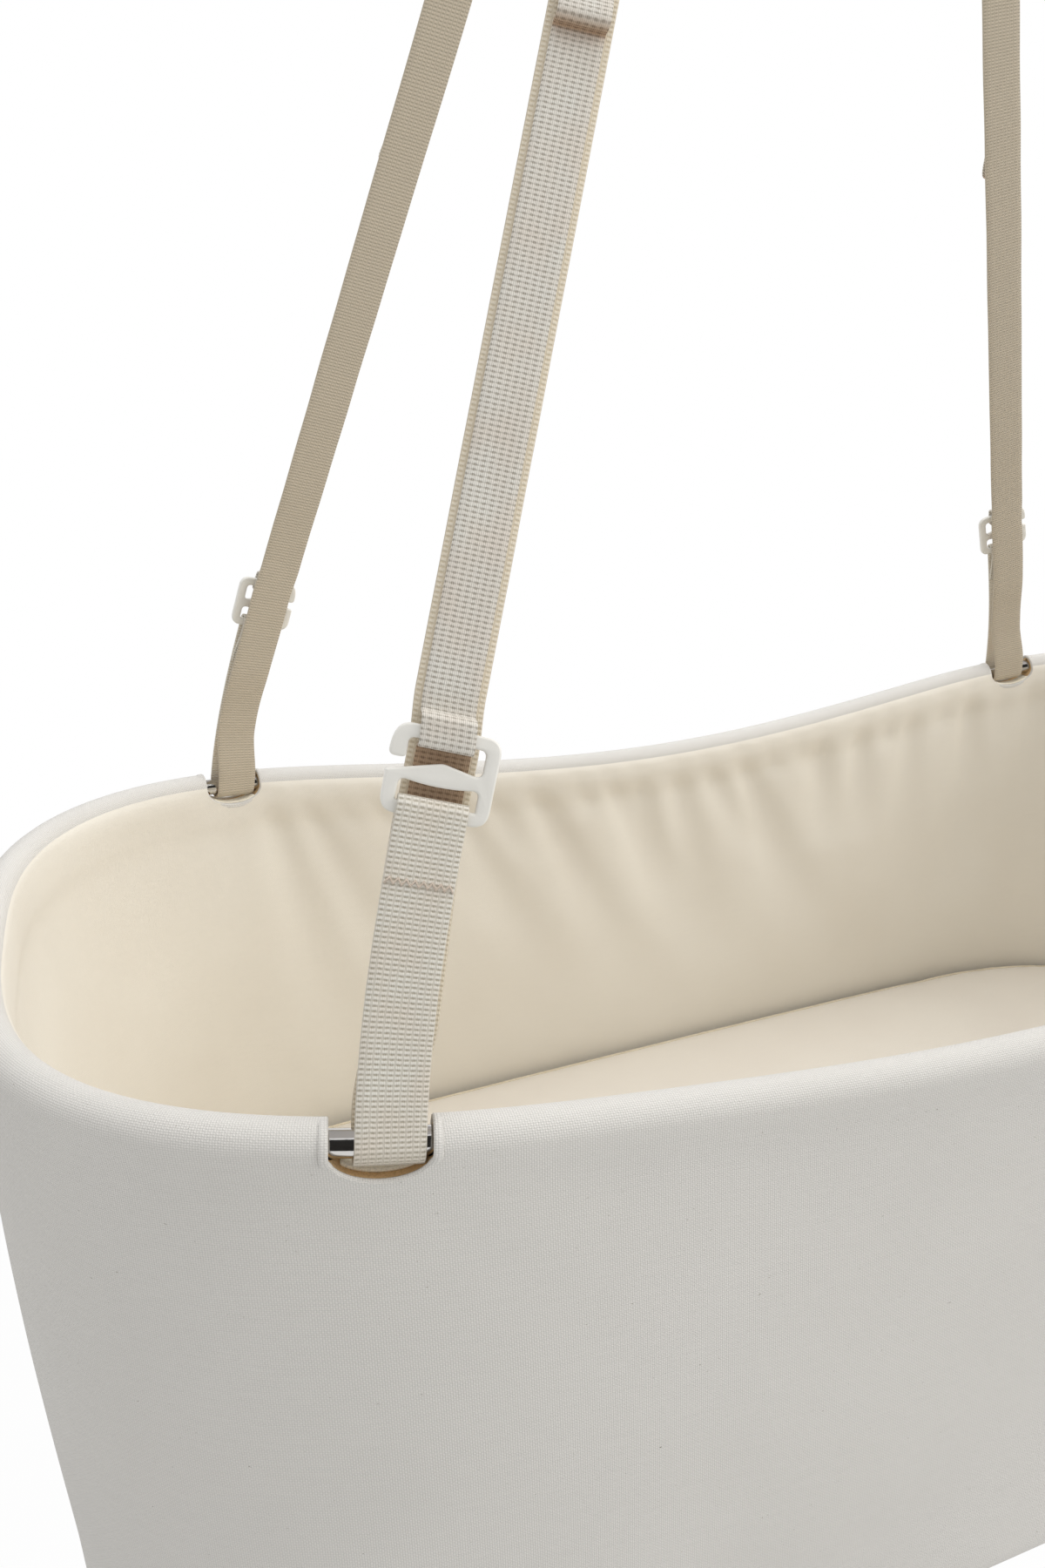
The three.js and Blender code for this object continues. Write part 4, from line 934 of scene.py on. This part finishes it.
def notch_edge_mesh(base, tangent, outward, up):
    """A turned edge: a low band that rolls over the canvas's cut edge, all round the notch."""
    half, low = NOTCH_WIDTH / 2, NOTCH_DEPTH
    stops = []
    for inner in (False, True):
        side = 1 if inner else -1
        for angle in spread(0, math.pi, 41)[::-side]:
            across, rise = half * math.cos(angle), -low * math.sin(angle)
            out = roll_out(rise, inner)
            normal = (outward * out + up * (rise if rise > -0.0045 else 0)).normalized()
            away = tangent * (math.cos(angle) / half) - up * (math.sin(angle) / low)
            stops.append((base + tangent * across + up * rise + outward * out, normal, away))
        for angle in spread(0, math.pi, 17)[1:-1][::-side]:
            normal = outward * math.cos(angle) + up * math.sin(angle)
            reach = LIP_RADIUS if angle < math.pi / 2 else LIP_RADIUS + GAP * (1 - math.sin(angle))
            stops.append((base + tangent * half * side + normal * reach, normal, tangent * side))
    section = [(0.0027, -0.0003), (0.0022, 0.0), (0.0013, 0.00018), (0.0004, 0.00024), (-0.0002, 0.00014),
               (-0.0005, -0.0002), (-0.0006, -0.0009), (-0.0003, -0.0018), (0.0006, -0.0018), (0.0016, -0.0012)]
    count = len(section)
    bm = bmesh.new()
    cloth = bm.loops.layers.uv.new("cloth")
    rings, runs = [], [0.0]
    for i, (spot, normal, away) in enumerate(stops):
        away = (away - normal * away.dot(normal)).normalized()
        rings.append([bm.verts.new(spot + away * aside + normal * proud) for aside, proud in section])
        runs.append(runs[-1] + (stops[(i + 1) % len(stops)][0] - spot).length)
    for i, ring in enumerate(rings):
        after = rings[(i + 1) % len(rings)]
        for k in range(count):
            face = bm.faces.new((ring[k], ring[(k + 1) % count], after[(k + 1) % count], after[k]))
            for loop, (end, down) in zip(face.loops, ((0, k), (0, k + 1), (1, k + 1), (1, k))):
                loop[cloth].uv = (runs[i + end], down * 0.0006)
    bmesh.ops.recalc_face_normals(bm, faces=bm.faces)
    return mesh_from(bm, "notch_edge")


def notch_facing_mesh(base, tangent, outward, up):
    """The strip of lining cloth that faces the inside of the notch, with a hole on each side for the tube."""
    half, low = NOTCH_WIDTH / 2 + GAP, NOTCH_DEPTH + GAP
    rises = [LIP_RADIUS * 0.94 * (1 - i / 8) for i in range(8)]
    path = [(half, rise) for rise in rises]
    path += [(half * math.cos(angle), -low * math.sin(angle)) for angle in spread(0, math.pi, 49)]
    path += [(-half, rise) for rise in reversed(rises)]
    clear = TUBE_RADIUS + 0.0002
    bm = bmesh.new()
    for inner in (False, True):
        lines = []
        for across, rise in path:
            far = roll_out(rise, inner) + (0.0006 if inner else -0.0006)
            near = math.sqrt(max(clear ** 2 - rise ** 2, 0)) * (-1 if inner else 1)
            line = []
            for out in spread(near, far, 7):
                sag = 0.0011 * unit((-rise - clear) / 0.003) * math.cos(out / 0.0095 * math.pi / 2)
                line.append(bm.verts.new(base + tangent * across + up * (rise - sag) + outward * out))
            lines.append(line)
        skin(bm, lines)
    bmesh.ops.remove_doubles(bm, verts=bm.verts, dist=2e-6)
    bmesh.ops.recalc_face_normals(bm, faces=bm.faces)
    return mesh_from(bm, "notch_facing")


def notch_lip_mesh(base, tangent, outward, up):
    """The lining's own folded edge, which shows as a pale rim inside the notch's floor; its cloth is the lining's cream
    painted lighter, a painted highlight.
    """
    half, low = NOTCH_WIDTH / 2 - 0.001, NOTCH_DEPTH - 0.0002
    section = [(-0.0092, 0.0004), (-0.0055, -0.0001), (-0.0027, -0.0003), (-0.0007, -0.0001), (0.0003, -0.0003),
               (0.0006, -0.0009), (0.0001, -0.0016)]
    bm = bmesh.new()
    lines = []
    for degrees in spread(38, 142, 31):
        angle = math.radians(degrees)
        raised = 0.0004 * max((math.sin(angle) - 0.74) / 0.26, 0)
        spot = base + tangent * half * math.cos(angle) - up * (low * math.sin(angle) - raised)
        lines.append([bm.verts.new(spot + outward * out + up * rise) for out, rise in section])
    skin(bm, lines)
    bmesh.ops.recalc_face_normals(bm, faces=bm.faces)
    return mesh_from(bm, "notch_lip")


def make_notch_edges():
    for name, side, along in CORNERS:
        centre, tangent, outward = rim_place(side, along)
        axes = (centre + LIFT, tangent, outward, outward.cross(tangent))
        finish_piece(f"{name}_notch_edge", notch_edge_mesh(*axes), CANVAS_CLOTH)
        # The facing wears painted warm shade, and the lip a painted highlight.
        for part, make, cloth in (("facing", notch_facing_mesh, FACING_CLOTH_PAINTED_WARM_SHADE), ("lip", notch_lip_mesh, LIP_CLOTH_PAINTED_HIGHLIGHT)):
            thicken(finish_piece(f"{name}_notch_{part}", make(*axes), cloth), 0.0005, 0)


# Straps

class StrapFrame:
    """One strap's route. Heights run from the tube to the ring's bar, and out is away from the cradle's middle."""

    def __init__(self, side, along):
        self.side = side
        self.tube, tangent, _ = rim_place(side, along, STRAP_SLIDE)
        self.hook = Vector((along * (NOTCH_X - HOOK_INSET_X), side * (rim_width(NOTCH_X) - HOOK_INSET_Y), HOOK_RISE))
        chord = self.hook - self.tube
        self.hook_at = chord.length
        self.up = chord.normalized()
        self.across = (tangent - self.up * tangent.dot(self.up)).normalized()
        self.outward = self.across.cross(self.up)
        self.rear = TUBE_RADIUS + GAP + 0.0007 + STRAP / 2
        self.layer = 1 if side > 0 else 0
        self.wrap = RING_ROD / 2 + GAP + STRAP / 2 + self.layer * (STRAP + GAP)
        self.top = Vector((along * STRAP_TOP_X, side * self.wrap, RING_BAR))
        self.tube_slope = -self.up.dot(tangent) / self.across.dot(tangent)
        upwards = self.top - self.hook
        self.hook_slope = upwards.dot(self.across) / upwards.dot(self.up)
        self.bend_at = self.hook_at + BEND_RISE
        upper = self.top - self.below(self.bend_at, -self.rear)[0]
        self.top_at = self.bend_at + upper.length
        self.rise = upper.normalized()
        self.bar_across = Vector((-side, 0, 0))

    def at(self, v, out=0.0):
        """The webbing's middle at a height, then its directions across, outwards and up."""
        return self.below(v, out) if v <= self.bend_at else self.above(v, out + self.rear)

    def below(self, v, out):
        s = unit(v / self.hook_at)
        bend = self.hook_at * (self.tube_slope * (s - 2 * s ** 2 + s ** 3) + self.hook_slope * (s ** 3 - s ** 2))
        slope = self.tube_slope * (1 - 4 * s + 3 * s ** 2) + self.hook_slope * (3 * s ** 2 - 2 * s)
        sideways = bend + slope * (v - s * self.hook_at)
        point = self.tube + self.up * v + self.across * sideways + self.outward * out
        across = (self.across - self.up * slope).normalized()
        return point, across, self.outward, self.outward.cross(across)

    def above(self, v, out):
        lower = (self.across - self.rise * self.across.dot(self.rise)).normalized()
        across = lower.lerp(self.bar_across, ease((v - self.bend_at) / (self.top_at - self.bend_at))).normalized()
        outward = (across - self.rise * across.dot(self.rise)).normalized().cross(self.rise)
        return self.top + self.rise * (v - self.top_at) + outward * out, across, outward, self.rise


def front_out(route, v):
    return route.rear + (TURN - route.rear) * max(v / (route.hook_at + BAR_LOW), 0)


def ripple(route, v):
    """Soft unevenness of the webbing along its run, none where it is held."""
    free = unit((v - route.hook_at) / 0.04 - 0.5) * unit((route.top_at - 0.05 - v) / 0.05)
    return 0.0007 * free * noise.noise(Vector((v * 26, route.side * 3, route.tube.x * 40)))


def slack(v):
    """How far the rear layer sags towards the front one between the tube and the hook."""
    return 0.003 * ease((v - 0.008) / 0.032) * (1 - ease((v - 0.05) / 0.034))


def rear_slide(route, v):
    """The rear layer lies a little to one side of the front one."""
    lower = ease((v - 0.007) / 0.036) * (1 - 0.55 * ease((v - 0.06) / (route.hook_at - 0.06)))
    return 0.0032 * lower * (1 - ease((v - route.hook_at - 0.006) / (BEND_RISE - 0.006)))


def strap_line(route, other):
    """Wide webbing: sewn tail, hook bar, down the front, under the tube, up the back and over the ring's bar."""
    bar_low = route.hook_at + BAR_LOW
    bar_middle = bar_low + HOOK_BAR - HOOK / 2
    tail_low = bar_low - FOLD_BACK
    line = []

    def lay(v, out, slide=0.0):
        point, across, _, _ = route.at(v, out)
        line.append((point + across * slide, across))
    for v in spread(tail_low, bar_low, 7):
        share = ease((v - tail_low) / (bar_low - tail_low))
        lay(v, (front_out(route, v) - STRAP - GAP) * (1 - share) - TURN * share, FRONT_SLIDE)
    for angle in spread(math.pi, 0, 15):
        lay(bar_middle + TURN * math.sin(angle), TURN * math.cos(angle), FRONT_SLIDE)
    for v in spread(bar_low, 0, 25)[:-1]:
        lay(v, front_out(route, v), FRONT_SLIDE)
    for angle in spread(0, math.pi, 21):
        lay(-route.rear * math.sin(angle), route.rear * math.cos(angle), FRONT_SLIDE * (1 - angle / math.pi))
    for v in spread(0, route.bend_at, 60)[1:]:
        lay(v, slack(v) - route.rear, rear_slide(route, v))
    for v in spread(route.bend_at, route.top_at, 130)[1:-1]:
        lay(v, ripple(route, v) - route.rear)
    for angle in spread(0, math.pi, 19):
        line.append((Vector((route.top.x, route.side * route.wrap * math.cos(angle),
                             RING_BAR + route.wrap * math.sin(angle))), route.bar_across))
    layer = (STRAP + GAP) * (1 if route.layer else -1)
    for drop in spread(0, TOP_TAIL, 10)[1:]:
        point, across, _, _ = other.at(other.top_at - drop, layer - other.rear)
        line.append((point, -across))
    return line


# A raised loop of the tape: rise, way out and how much painted shade it gets, darkest under the loop.
LOOP_SHAPE = [(-0.0012, 0.0, 0.7), (-0.0004, 0.0003, 1), (0.0001, 0.0012, 1), (-0.0002, 0.0026, 1),
              (-0.0006, 0.004, 0.9), (-0.0004, 0.0052, 0.6), (0.0004, 0.006, 0.25), (0.0016, 0.0062, 0),
              (0.004, 0.0057, 0), (0.008, 0.0043, 0), (0.012, 0.0026, 0), (0.0155, 0.0011, 0), (0.018, 0.0003, 0),
              (0.0195, 0.0, 0)]


def tape_line(route):
    """Narrow webbing on the outer face, sewn down between raised loops. The lowest loop holds the hook."""
    face = -route.rear + (STRAP + TAPE) / 2 + GAP
    front = HOOK / 2 + GAP + TAPE / 2
    bar_top = route.hook_at + HOOK_HEIGHT / 2
    end = route.top_at - TOP_TAIL - TAPE_TOP_MARGIN
    low, high = bar_top - HOOK_BAR - GAP - TAPE / 2 - 0.001, bar_top + 0.0036
    stations = [(v, face) for v in spread(TAPE_LOW_END, low - 0.0012, 24)]
    stations += [(low + rise, face + out) for rise, out in ((-0.0005, 0.0003), (-0.0001, 0.0012), (0, 0.003))]
    stations += [(low + rise, front + out) for rise, out in (
        (-0.0001, -0.0016), (0.0001, -0.0008), (0.0005, -0.0002), (0.0012, 0.0001))]
    stations += [(v, front + 0.0001) for v in spread(low + 0.003, high - 0.0022, 5)]
    stations += [(high + rise, front + out) for rise, out in (
        (-0.001, 0), (-0.0004, -0.0003), (0, -0.0009), (0.0004, -0.002))]
    stations += [(high + rise, face + out) for rise, out in (
        (0.0008, 0.0022), (0.001, 0.0009), (0.0014, 0.0002), (0.0022, 0))]
    rest = []
    # Painted shade where the tape lies behind the hook's windows.
    for i, (v, out) in enumerate(stations):
        shade = ease((v - route.hook_at + 0.02) / 0.006) * unit(1 - (out - face) / (front - face)) * (v < bar_top)
        rest.append((i * 1e-6, v, out + slack(v), shade))
    loops = [route.hook_at + (i + 1) * LOOP_SPACING + LOOP_SAG for i in range(3)]
    loops = [start for start in loops if start + LOOP_HEIGHT < end]
    for v in spread(high + 0.006, end, 170):
        if not any(start - 0.003 < v < start + 0.022 for start in loops):
            rest.append((v, v, face + ripple(route, v), 0))
    for start in loops:
        flat = face + ripple(route, start)
        # Painted shade just below each loop.
        rest.append((start - 0.002, start - 0.002, flat, 0.3))
        for i, (rise, out, shade) in enumerate(LOOP_SHAPE):
            rest.append((start - 0.0015 + 0.001 * i, start + rise, flat + out, shade))
    line = []
    for _, v, out, shade in sorted(rest):
        point, across = route.at(v, out)[:2]
        line.append((point + across * rear_slide(route, v), across, shade))
    return line


def webbing_mesh(name, line, width, thickness, edge, materials=()):
    """A flat strip along a line of places, with rounded edges, its cloth map and a shade map of how much painted shade
    it gets.
    """
    rows = len(line) - 1
    bm = bmesh.new()
    bmesh.ops.create_grid(bm, x_segments=6, y_segments=rows, size=1)
    cloth = bm.loops.layers.uv.new("cloth")
    # The shade map: how much painted shade each row of the strip gets.
    shade = bm.loops.layers.uv.new("shade")
    lengths = [0.0]
    for before, after in zip(line, line[1:]):
        lengths.append(lengths[-1] + (after[0] - before[0]).length)
    spots = {vert: (vert.co.x / 2, round((vert.co.y + 1) / 2 * rows)) for vert in bm.verts}
    for face in bm.faces:
        for loop in face.loops:
            across, row = spots[loop.vert]
            loop[cloth].uv = (across * width, lengths[row])
            loop[shade].uv = (line[row][2] if len(line[row]) > 2 else 0, 0)
    for vert, (across, row) in spots.items():
        point, direction = line[row][:2]
        vert.co = point + direction * across * width + LIFT
    mesh = mesh_from(bm, name)
    for material in materials:
        mesh.materials.append(material)
    helper = in_scene(name, mesh)
    solid = helper.modifiers.new("thickness", "SOLIDIFY")
    solid.thickness = thickness
    solid.offset = 0
    solid.material_offset = solid.material_offset_rim = len(materials) // 2
    bevel = helper.modifiers.new("edges", "BEVEL")
    bevel.width = edge
    bevel.segments = 2
    bevel.limit_method = "ANGLE"
    bevel.angle_limit = math.radians(60)
    return made_mesh(helper)


def hook_outline():
    """The hook's outline and its lower window, as two closed lines of points."""
    right, top = HOOK_WIDTH / 2, HOOK_HEIGHT / 2
    corner, fillet = 0.006, 0.0022
    bar_under = top - HOOK_BAR
    window_right = right - 0.0048
    tip_right = -right + 0.0056
    tip_low = top - 0.0115
    middle_left = tip_low - 0.0045
    middle_peak = middle_left + 0.0047
    middle_low = middle_peak - 0.0079
    window_left, window_low, window_top = -right + 0.0048, -top + HOOK_BAR, middle_low + 0.0009

    def path(steps):
        """A step is a point, or a bend's corner and end."""
        points = []
        for step in steps:
            if len(step) == 2:
                points.append(Vector(step))
            else:
                points += bent(points[-1], Vector(step[:2]), Vector(step[2:]), 9)[1:]
        return [(point.x + HOOK_SHIFT, point.y, 0) for point in points]
    outer = path([
        (-right, tip_low + fillet), (-right, top, -right + corner, top), (right - corner, top),
        (right, top, right, top - corner), (right, corner - top), (right, -top, right - corner, -top),
        (corner - right, -top), (-right, -top, -right, corner - top), (-right, middle_left - 0.0008),
        (-right, middle_left, -right + 0.001, middle_left + 0.00015), (-0.0012, middle_peak - 0.0003),
        (0, middle_peak, 0.0012, middle_peak - 0.0002), (window_right - fillet, middle_peak - fillet),
        (window_right, middle_peak - fillet, window_right, middle_peak), (window_right, bar_under - fillet),
        (window_right, bar_under, window_right - fillet, bar_under), (tip_right + fillet, bar_under),
        (tip_right, bar_under, tip_right, bar_under - fillet), (tip_right, tip_low + fillet / 2),
        (tip_right, tip_low, tip_right - fillet, tip_low), (-right + fillet, tip_low),
        (-right, tip_low, -right, tip_low + fillet * 0.98),
    ])
    window = path([
        (window_right, window_low + 0.0006), (window_right, window_top - fillet),
        (window_right, window_top, window_right - fillet, window_top),
        (0, middle_low - 0.0009, window_left + fillet, window_top),
        (window_left, window_top, window_left, window_top - fillet), (window_left, window_low + 0.0006),
        (window_left, window_low, window_left + 0.0006, window_low), (window_right - 0.0006, window_low),
        (window_right, window_low, window_right, window_low + 0.00055),
    ])
    return outer, window


def hook_mesh():
    """The flat hook, cut from plate with softened edges."""
    curve = line_curve("hook_plate", hook_outline(), "2D", True)
    curve.fill_mode = "BOTH"
    curve.extrude = HOOK / 2 - HOOK_ROUNDING
    curve.bevel_depth = HOOK_ROUNDING
    curve.bevel_resolution = 3
    curve.offset = -HOOK_ROUNDING
    mesh = made_mesh(in_scene("hook_plate", curve))
    return written(merged(mesh, 2e-6), mesh)


def placed(point, across, outward, up):
    return Matrix.Translation(point + LIFT) @ Matrix((across, up, outward)).transposed().to_4x4()


def stitch_mesh(width):
    """A bar of zigzag stitches, a few threads deep."""
    points = []
    turns, height, thread = 16, 0.0022, 0.00028
    for row in range(3):
        for i in range(turns + 1)[::-1 if row % 2 else 1]:
            wave = height / 2 * (1 if i % 2 else -1) * 0.9
            jitter = 0.0002 * noise.noise(Vector((i * 1.7, row * 5.1, 0)))
            points.append(Vector((-width / 2 + width * i / turns, wave + jitter + (row - 1) * 0.0003,
                                  0.0002 * (1 + row % 2))))
    return rod_mesh(points, thread, sides=2)


def make_straps():
    routes = {(side, along): StrapFrame(side, along) for _, side, along in CORNERS}
    plate = hook_mesh()
    for name, side, along in CORNERS:
        route = routes[side, along]
        strap = webbing_mesh(f"{name}_webbing", strap_line(route, routes[-side, along]), STRAP_WIDTH, STRAP, 0.00045,
                             (STRAP_BACK, STRAP_WEBBING))
        finish_piece(f"{name}_webbing", strap, None, f"{name}_strap")
        tape = webbing_mesh(f"{name}_tape", tape_line(route), TAPE_WIDTH, TAPE, 0.0004)
        finish_piece(f"{name}_tape", tape, TAPE_WEBBING, f"{name}_loop_tape")
        hook = plate.copy()
        hook.transform(placed(*route.at(route.hook_at)))
        finish_piece(f"{name}_hook_plate", hook, COATING, f"{name}_hook", crisp=35)
        stitch_at = route.hook_at + BAR_LOW - STITCH_BACK
        top_out = 0 if route.layer else STRAP + GAP
        for place, v, out, slide in (("hook", stitch_at, front_out(route, stitch_at), FRONT_SLIDE),
                                     ("top", route.top_at - TOP_STITCH_DROP, top_out - route.rear, 0)):
            point, across, outward, up = route.at(v, out)
            square = (across - up * across.dot(up)).normalized()
            bar = stitch_mesh(STRAP_WIDTH - 0.0012)
            bar.transform(placed(point + across * slide + outward * (STRAP / 2), square, outward, up))
            finish_piece(f"{name}_{place}_stitches", bar, THREAD, f"{name}_{place}_stitching")


# Steel fittings

def make_rim_tube():
    gap = 0.00015 / PERIMETER
    for name, start in (("right", 0.0), ("left", 0.5)):
        points = [rim_point(start + gap + (0.5 - 2 * gap) * i / 220) + LIFT for i in range(221)]
        finish_piece(f"rim_tube_{name}_polished", rod_mesh(points, TUBE_RADIUS, sides=8), POLISH,
                     f"rim_tube_{name}", crisp=40)


def make_ring():
    corners = [Vector((0, 0, RING_HEIGHT)), Vector((-RING_HALF, 0, 0)), Vector((RING_HALF, 0, 0))]
    points = []
    for i, corner in enumerate(corners):
        start, end = (corner + (next_one - corner).normalized() * RING_CORNER
                      for next_one in (corners[i - 1], corners[(i + 1) % 3]))
        points += bent(start, corner, end, 13)
    points = [point + Vector((0, 0, RING_BAR + RIM_LEVEL)) for point in points]
    finish_piece("strap_ring_rod", rod_mesh(points, RING_ROD / 2, closed=True, sides=8), POLISH, "strap_ring")


def upright_arc(level, radius, start, end, steps=32):
    return [Vector((0, out, up)) for out, up in arc(0, level, radius, start, end, steps)]


def moved(mesh, place):
    mesh.transform(place)
    return mesh


def make_snap_hook():
    nose = SNAP_LOW + NOSE_RISE
    points = upright_arc(SNAP_TOP, SNAP_HALF, 20, 180) + upright_arc(SNAP_LOW, SNAP_HALF, 180, 360)
    points.append(Vector((0, SNAP_HALF, nose)))
    body = rod_mesh(points, SNAP_ROD, sides=7, ends=0.0009)
    across = Matrix.Translation((0, SNAP_HALF, SNAP_TOP)) @ Matrix.Rotation(math.pi / 2, 4, "Y")

    def rivet_hole():
        return moved(turned_mesh(stepped((RIVET_HOLE, -0.012, 0.012)), 24), across)
    boss = turned_mesh(stepped((0.0075, -0.0905, -0.0695)), eased=0.0008)
    fork = block_mesh((0.012, 0.01, 0.011), (0, SNAP_HALF, SNAP_TOP + 0.00275), eased=0.0014)
    hole = turned_mesh(stepped((PIN_BORE, -0.0788, -0.0675)))
    slot = block_mesh((0.0052, 0.02, 0.011), (0, SNAP_HALF, SNAP_TOP - 0.0019))
    finish_piece("snap_hook_body", joined(body, [boss, fork], [hole, slot, rivet_hole()]), POLISH,
                 "snap_hook", "hook_body", 32)
    pin = turned_mesh(stepped((0.0025, -0.0075, -0.0063), (0.0015, -0.0063, 0.0063), (0.0025, 0.0063, 0.0075)), 32,
                      eased=0.0003)
    finish_piece("gate_rivet", moved(pin, across), SATIN, "gate_pin", "hook_body", 32)
    slot_low = SNAP_TOP - 0.00825 - GAP
    bar = turned_mesh(stepped((0.003, nose + GAP, slot_low)), 40, eased=0.0005)
    bar.transform(Matrix.Translation((0, SNAP_HALF, 0)))
    tongue = moved(turned_mesh(stepped((0.00315, -0.0023, 0.0023)), 40), across)
    neck = block_mesh((0.0046, 0.0046, SNAP_TOP - slot_low + 0.002), (0, SNAP_HALF, (SNAP_TOP + slot_low - 0.002) / 2))
    finish_piece("snap_gate_bar", joined(bar, [tongue, neck], [rivet_hole()]), POLISH, "snap_gate", "gate", 32)


def make_swivel():
    ring = rod_mesh(upright_arc(EYE_LEVEL, EYE_RADIUS, 0, 352.5, 47), EYE_ROD, closed=True, sides=7)
    collar = turned_mesh(stepped((COLLAR_RADIUS, COLLAR_LOW, COLLAR_TOP)), eased=0.0009)
    bore = turned_mesh(stepped((PIN_BORE, -0.072, PIN_SEAT), (0.0058, PIN_SEAT, PIN_SEAT + 0.007)))
    finish_piece("swivel_eye_ring", joined(ring, [collar], [bore]), POLISH, "swivel_eye", "swivel_top", 32)
    head = PIN_SEAT + GAP
    pin = turned_mesh(stepped((0.0035, -0.0785, head), (0.0055, head, head + 0.003)), eased=0.0005)
    finish_piece("swivel_pin_turned", pin, SATIN, "swivel_pin", "hook_body", 32)


def make_bracket():
    plate = turned_mesh(stepped((PLATE_RADIUS, -PLATE, 0)), 96, eased=0.0009)
    arch = [Vector((ARCH_RADIUS * math.cos(angle), 0, ARCH_LEVEL + ARCH_RADIUS * math.sin(angle)))
            for angle in spread(math.pi, 2 * math.pi, 33)]
    feet = [[Vector((x, 0, -0.003)), Vector((x, 0, -0.011))] for x in (-ARCH_RADIUS, ARCH_RADIUS)]
    eye = rod_mesh(feet[0] + arch + feet[1][::-1], ARCH_ROD, sides=7)
    weld = [(0, -0.0075), (0.0041, -0.0075), (0.0045, -0.0062), (0.006, -0.0049), (0, -0.0045)]
    welds = [moved(turned_mesh(weld, 40), Matrix.Translation((x, 0, 0))) for x in (-ARCH_RADIUS, ARCH_RADIUS)]
    ridges = [(0.0025 - 0.0006 * (k % 2), 0.006 + 0.0009 * k) for k in range(30)]
    shank = [(0, -0.005), (0.00475, -0.005), (0.0025, -0.0022), *ridges, (0.0019, 0.033), (0, 0.04)]
    holes = []
    for i in range(4):
        angle = (i + 0.5) * math.pi / 2
        place = Matrix.Translation((SCREW_CIRCLE * math.cos(angle), SCREW_CIRCLE * math.sin(angle), 0))
        holes.append(moved(turned_mesh(stepped((0.00505, -0.007, -0.005), (0.0028, -0.0022, 0.002)), 48), place))
        cross = [block_mesh(size, (0, 0, -0.0045)) for size in ((0.0056, 0.0011, 0.0028), (0.0011, 0.0056, 0.0028))]
        screw = joined(turned_mesh(shank, 40), cut=cross)
        screw.transform(Matrix.Rotation(0.5 + 1.1 * i, 4, "Z"))
        finish_piece(f"ceiling_screw_{i + 1}_countersunk", moved(screw, place), SATIN,
                     f"ceiling_screw_{i + 1}", "ceiling_fitting", 32)
    finish_piece("ceiling_plate", joined(plate, [eye, *welds], holes), SATIN, "ceiling_bracket",
                 "ceiling_fitting", 32)


# Room

def make_room(ambient):
    """A white surrounding that the camera sees, with less light from it on the pieces."""
    sky = Nodes("white_room", bpy.data.worlds, "Background")
    bpy.context.scene.world = sky.owner
    sky.wear(Color=(1, 1, 1, 1), Strength=sky.between(sky.seen_plainly(), 0.0, 1.0, ambient, 1.0))
    bm = bmesh.new()
    bmesh.ops.create_grid(bm, x_segments=1, y_segments=1, size=9)
    bmesh.ops.translate(bm, verts=bm.verts, vec=(0, 0, -2.3))
    floor = in_scene("floor", mesh_from(bm, "floor"))
    nodes = Nodes("pale_floor")
    floor.data.materials.append(nodes.wear(Base_Color=(0.86, 0.86, 0.85, 1), Roughness=0.9))
    far = nodes.add("ShaderNodeVectorMath", {0: nodes.place()}, operation="LENGTH").outputs["Value"]
    share = nodes.maths("MULTIPLY", nodes.seen_plainly(), nodes.between(far, 2.8, 4.6, 0.94, 1.0))
    glow = nodes.add("ShaderNodeEmission", {"Color": (1, 1, 1, 1), "Strength": 1.0})
    mixed = nodes.add("ShaderNodeMixShader", {0: share, 1: nodes.shader.outputs[0], 2: glow.outputs[0]})
    nodes.feed(nodes.tree.nodes["Material Output"], {"Surface": mixed.outputs[0]})


def metal_card(name, size, place, aim, tone):
    """A card that only polished metal sees, for the darker bands that give it its shape."""
    bm = bmesh.new()
    bmesh.ops.create_grid(bm, x_segments=1, y_segments=1, size=0.5)
    bmesh.ops.scale(bm, verts=bm.verts, vec=(*size, 1))
    turn = (Vector(aim) - Vector(place)).to_track_quat("Z", "Y").to_matrix()
    bmesh.ops.rotate(bm, verts=bm.verts, matrix=turn)
    bmesh.ops.translate(bm, verts=bm.verts, vec=place)
    card = in_scene(name, mesh_from(bm, name))
    card.data.materials.append(Nodes(name).wear(Base_Color=tone, Roughness=0.9))
    card.visible_camera = card.visible_diffuse = card.visible_shadow = card.visible_transmission = False


def lamp(name, place, size, watts, tint=(1, 1, 1)):
    """A soft square lamp that looks at the bowl."""
    data = bpy.data.lights.new(name, "AREA")
    data.shape = "RECTANGLE"
    data.size = data.size_y = size
    data.energy = watts
    data.color = tint
    light = in_scene(name, data)
    light.location = place
    light.rotation_mode = "QUATERNION"
    light.rotation_quaternion = (Vector((0, 0, -1.1)) - Vector(place)).to_track_quat("-Z", "Y")
    return light


bpy.context.scene.view_settings.view_transform = "Standard"
make_room(ambient=0.68)
metal_card("front_card", (6, 5.8), (0, -2.7, 0.68), (0, 0, 0.68), (0.02, 0.018, 0.016, 1))
metal_card("back_card", (6, 4.6), (0, 2.7, 2.8), (0, 0, 2.8), (0.56, 0.53, 0.52, 1))
metal_card("ceiling_card", (6, 3.9), (0, 1.05, 1.2), (0, 1.05, 0), (0.66, 0.63, 0.62, 1))
lamp("ceiling_softbox", (0.2, 0.3, 0.9), 2.2, 22).visible_glossy = False
lamp("window_right", (2.3, -1.15, 0.2), 1.8, 34, (1.0, 0.975, 0.93))

bowl = make_bowl()
lining = make_lining()
cut_notches(bowl, lining)
crisp_edges(bowl)
crisp_edges(lining)
make_mattress()
make_notch_edges()
make_straps()
make_rim_tube()
make_ring()
make_snap_hook()
make_swivel()
make_bracket()
for name, finish in (("rim_joiner_front", SATIN), ("rim_joiner_back", SATIN), ("base_board", PLYWOOD)):
    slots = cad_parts[name].data.materials
    if slots:
        slots[0] = finish
    else:
        slots.append(finish)
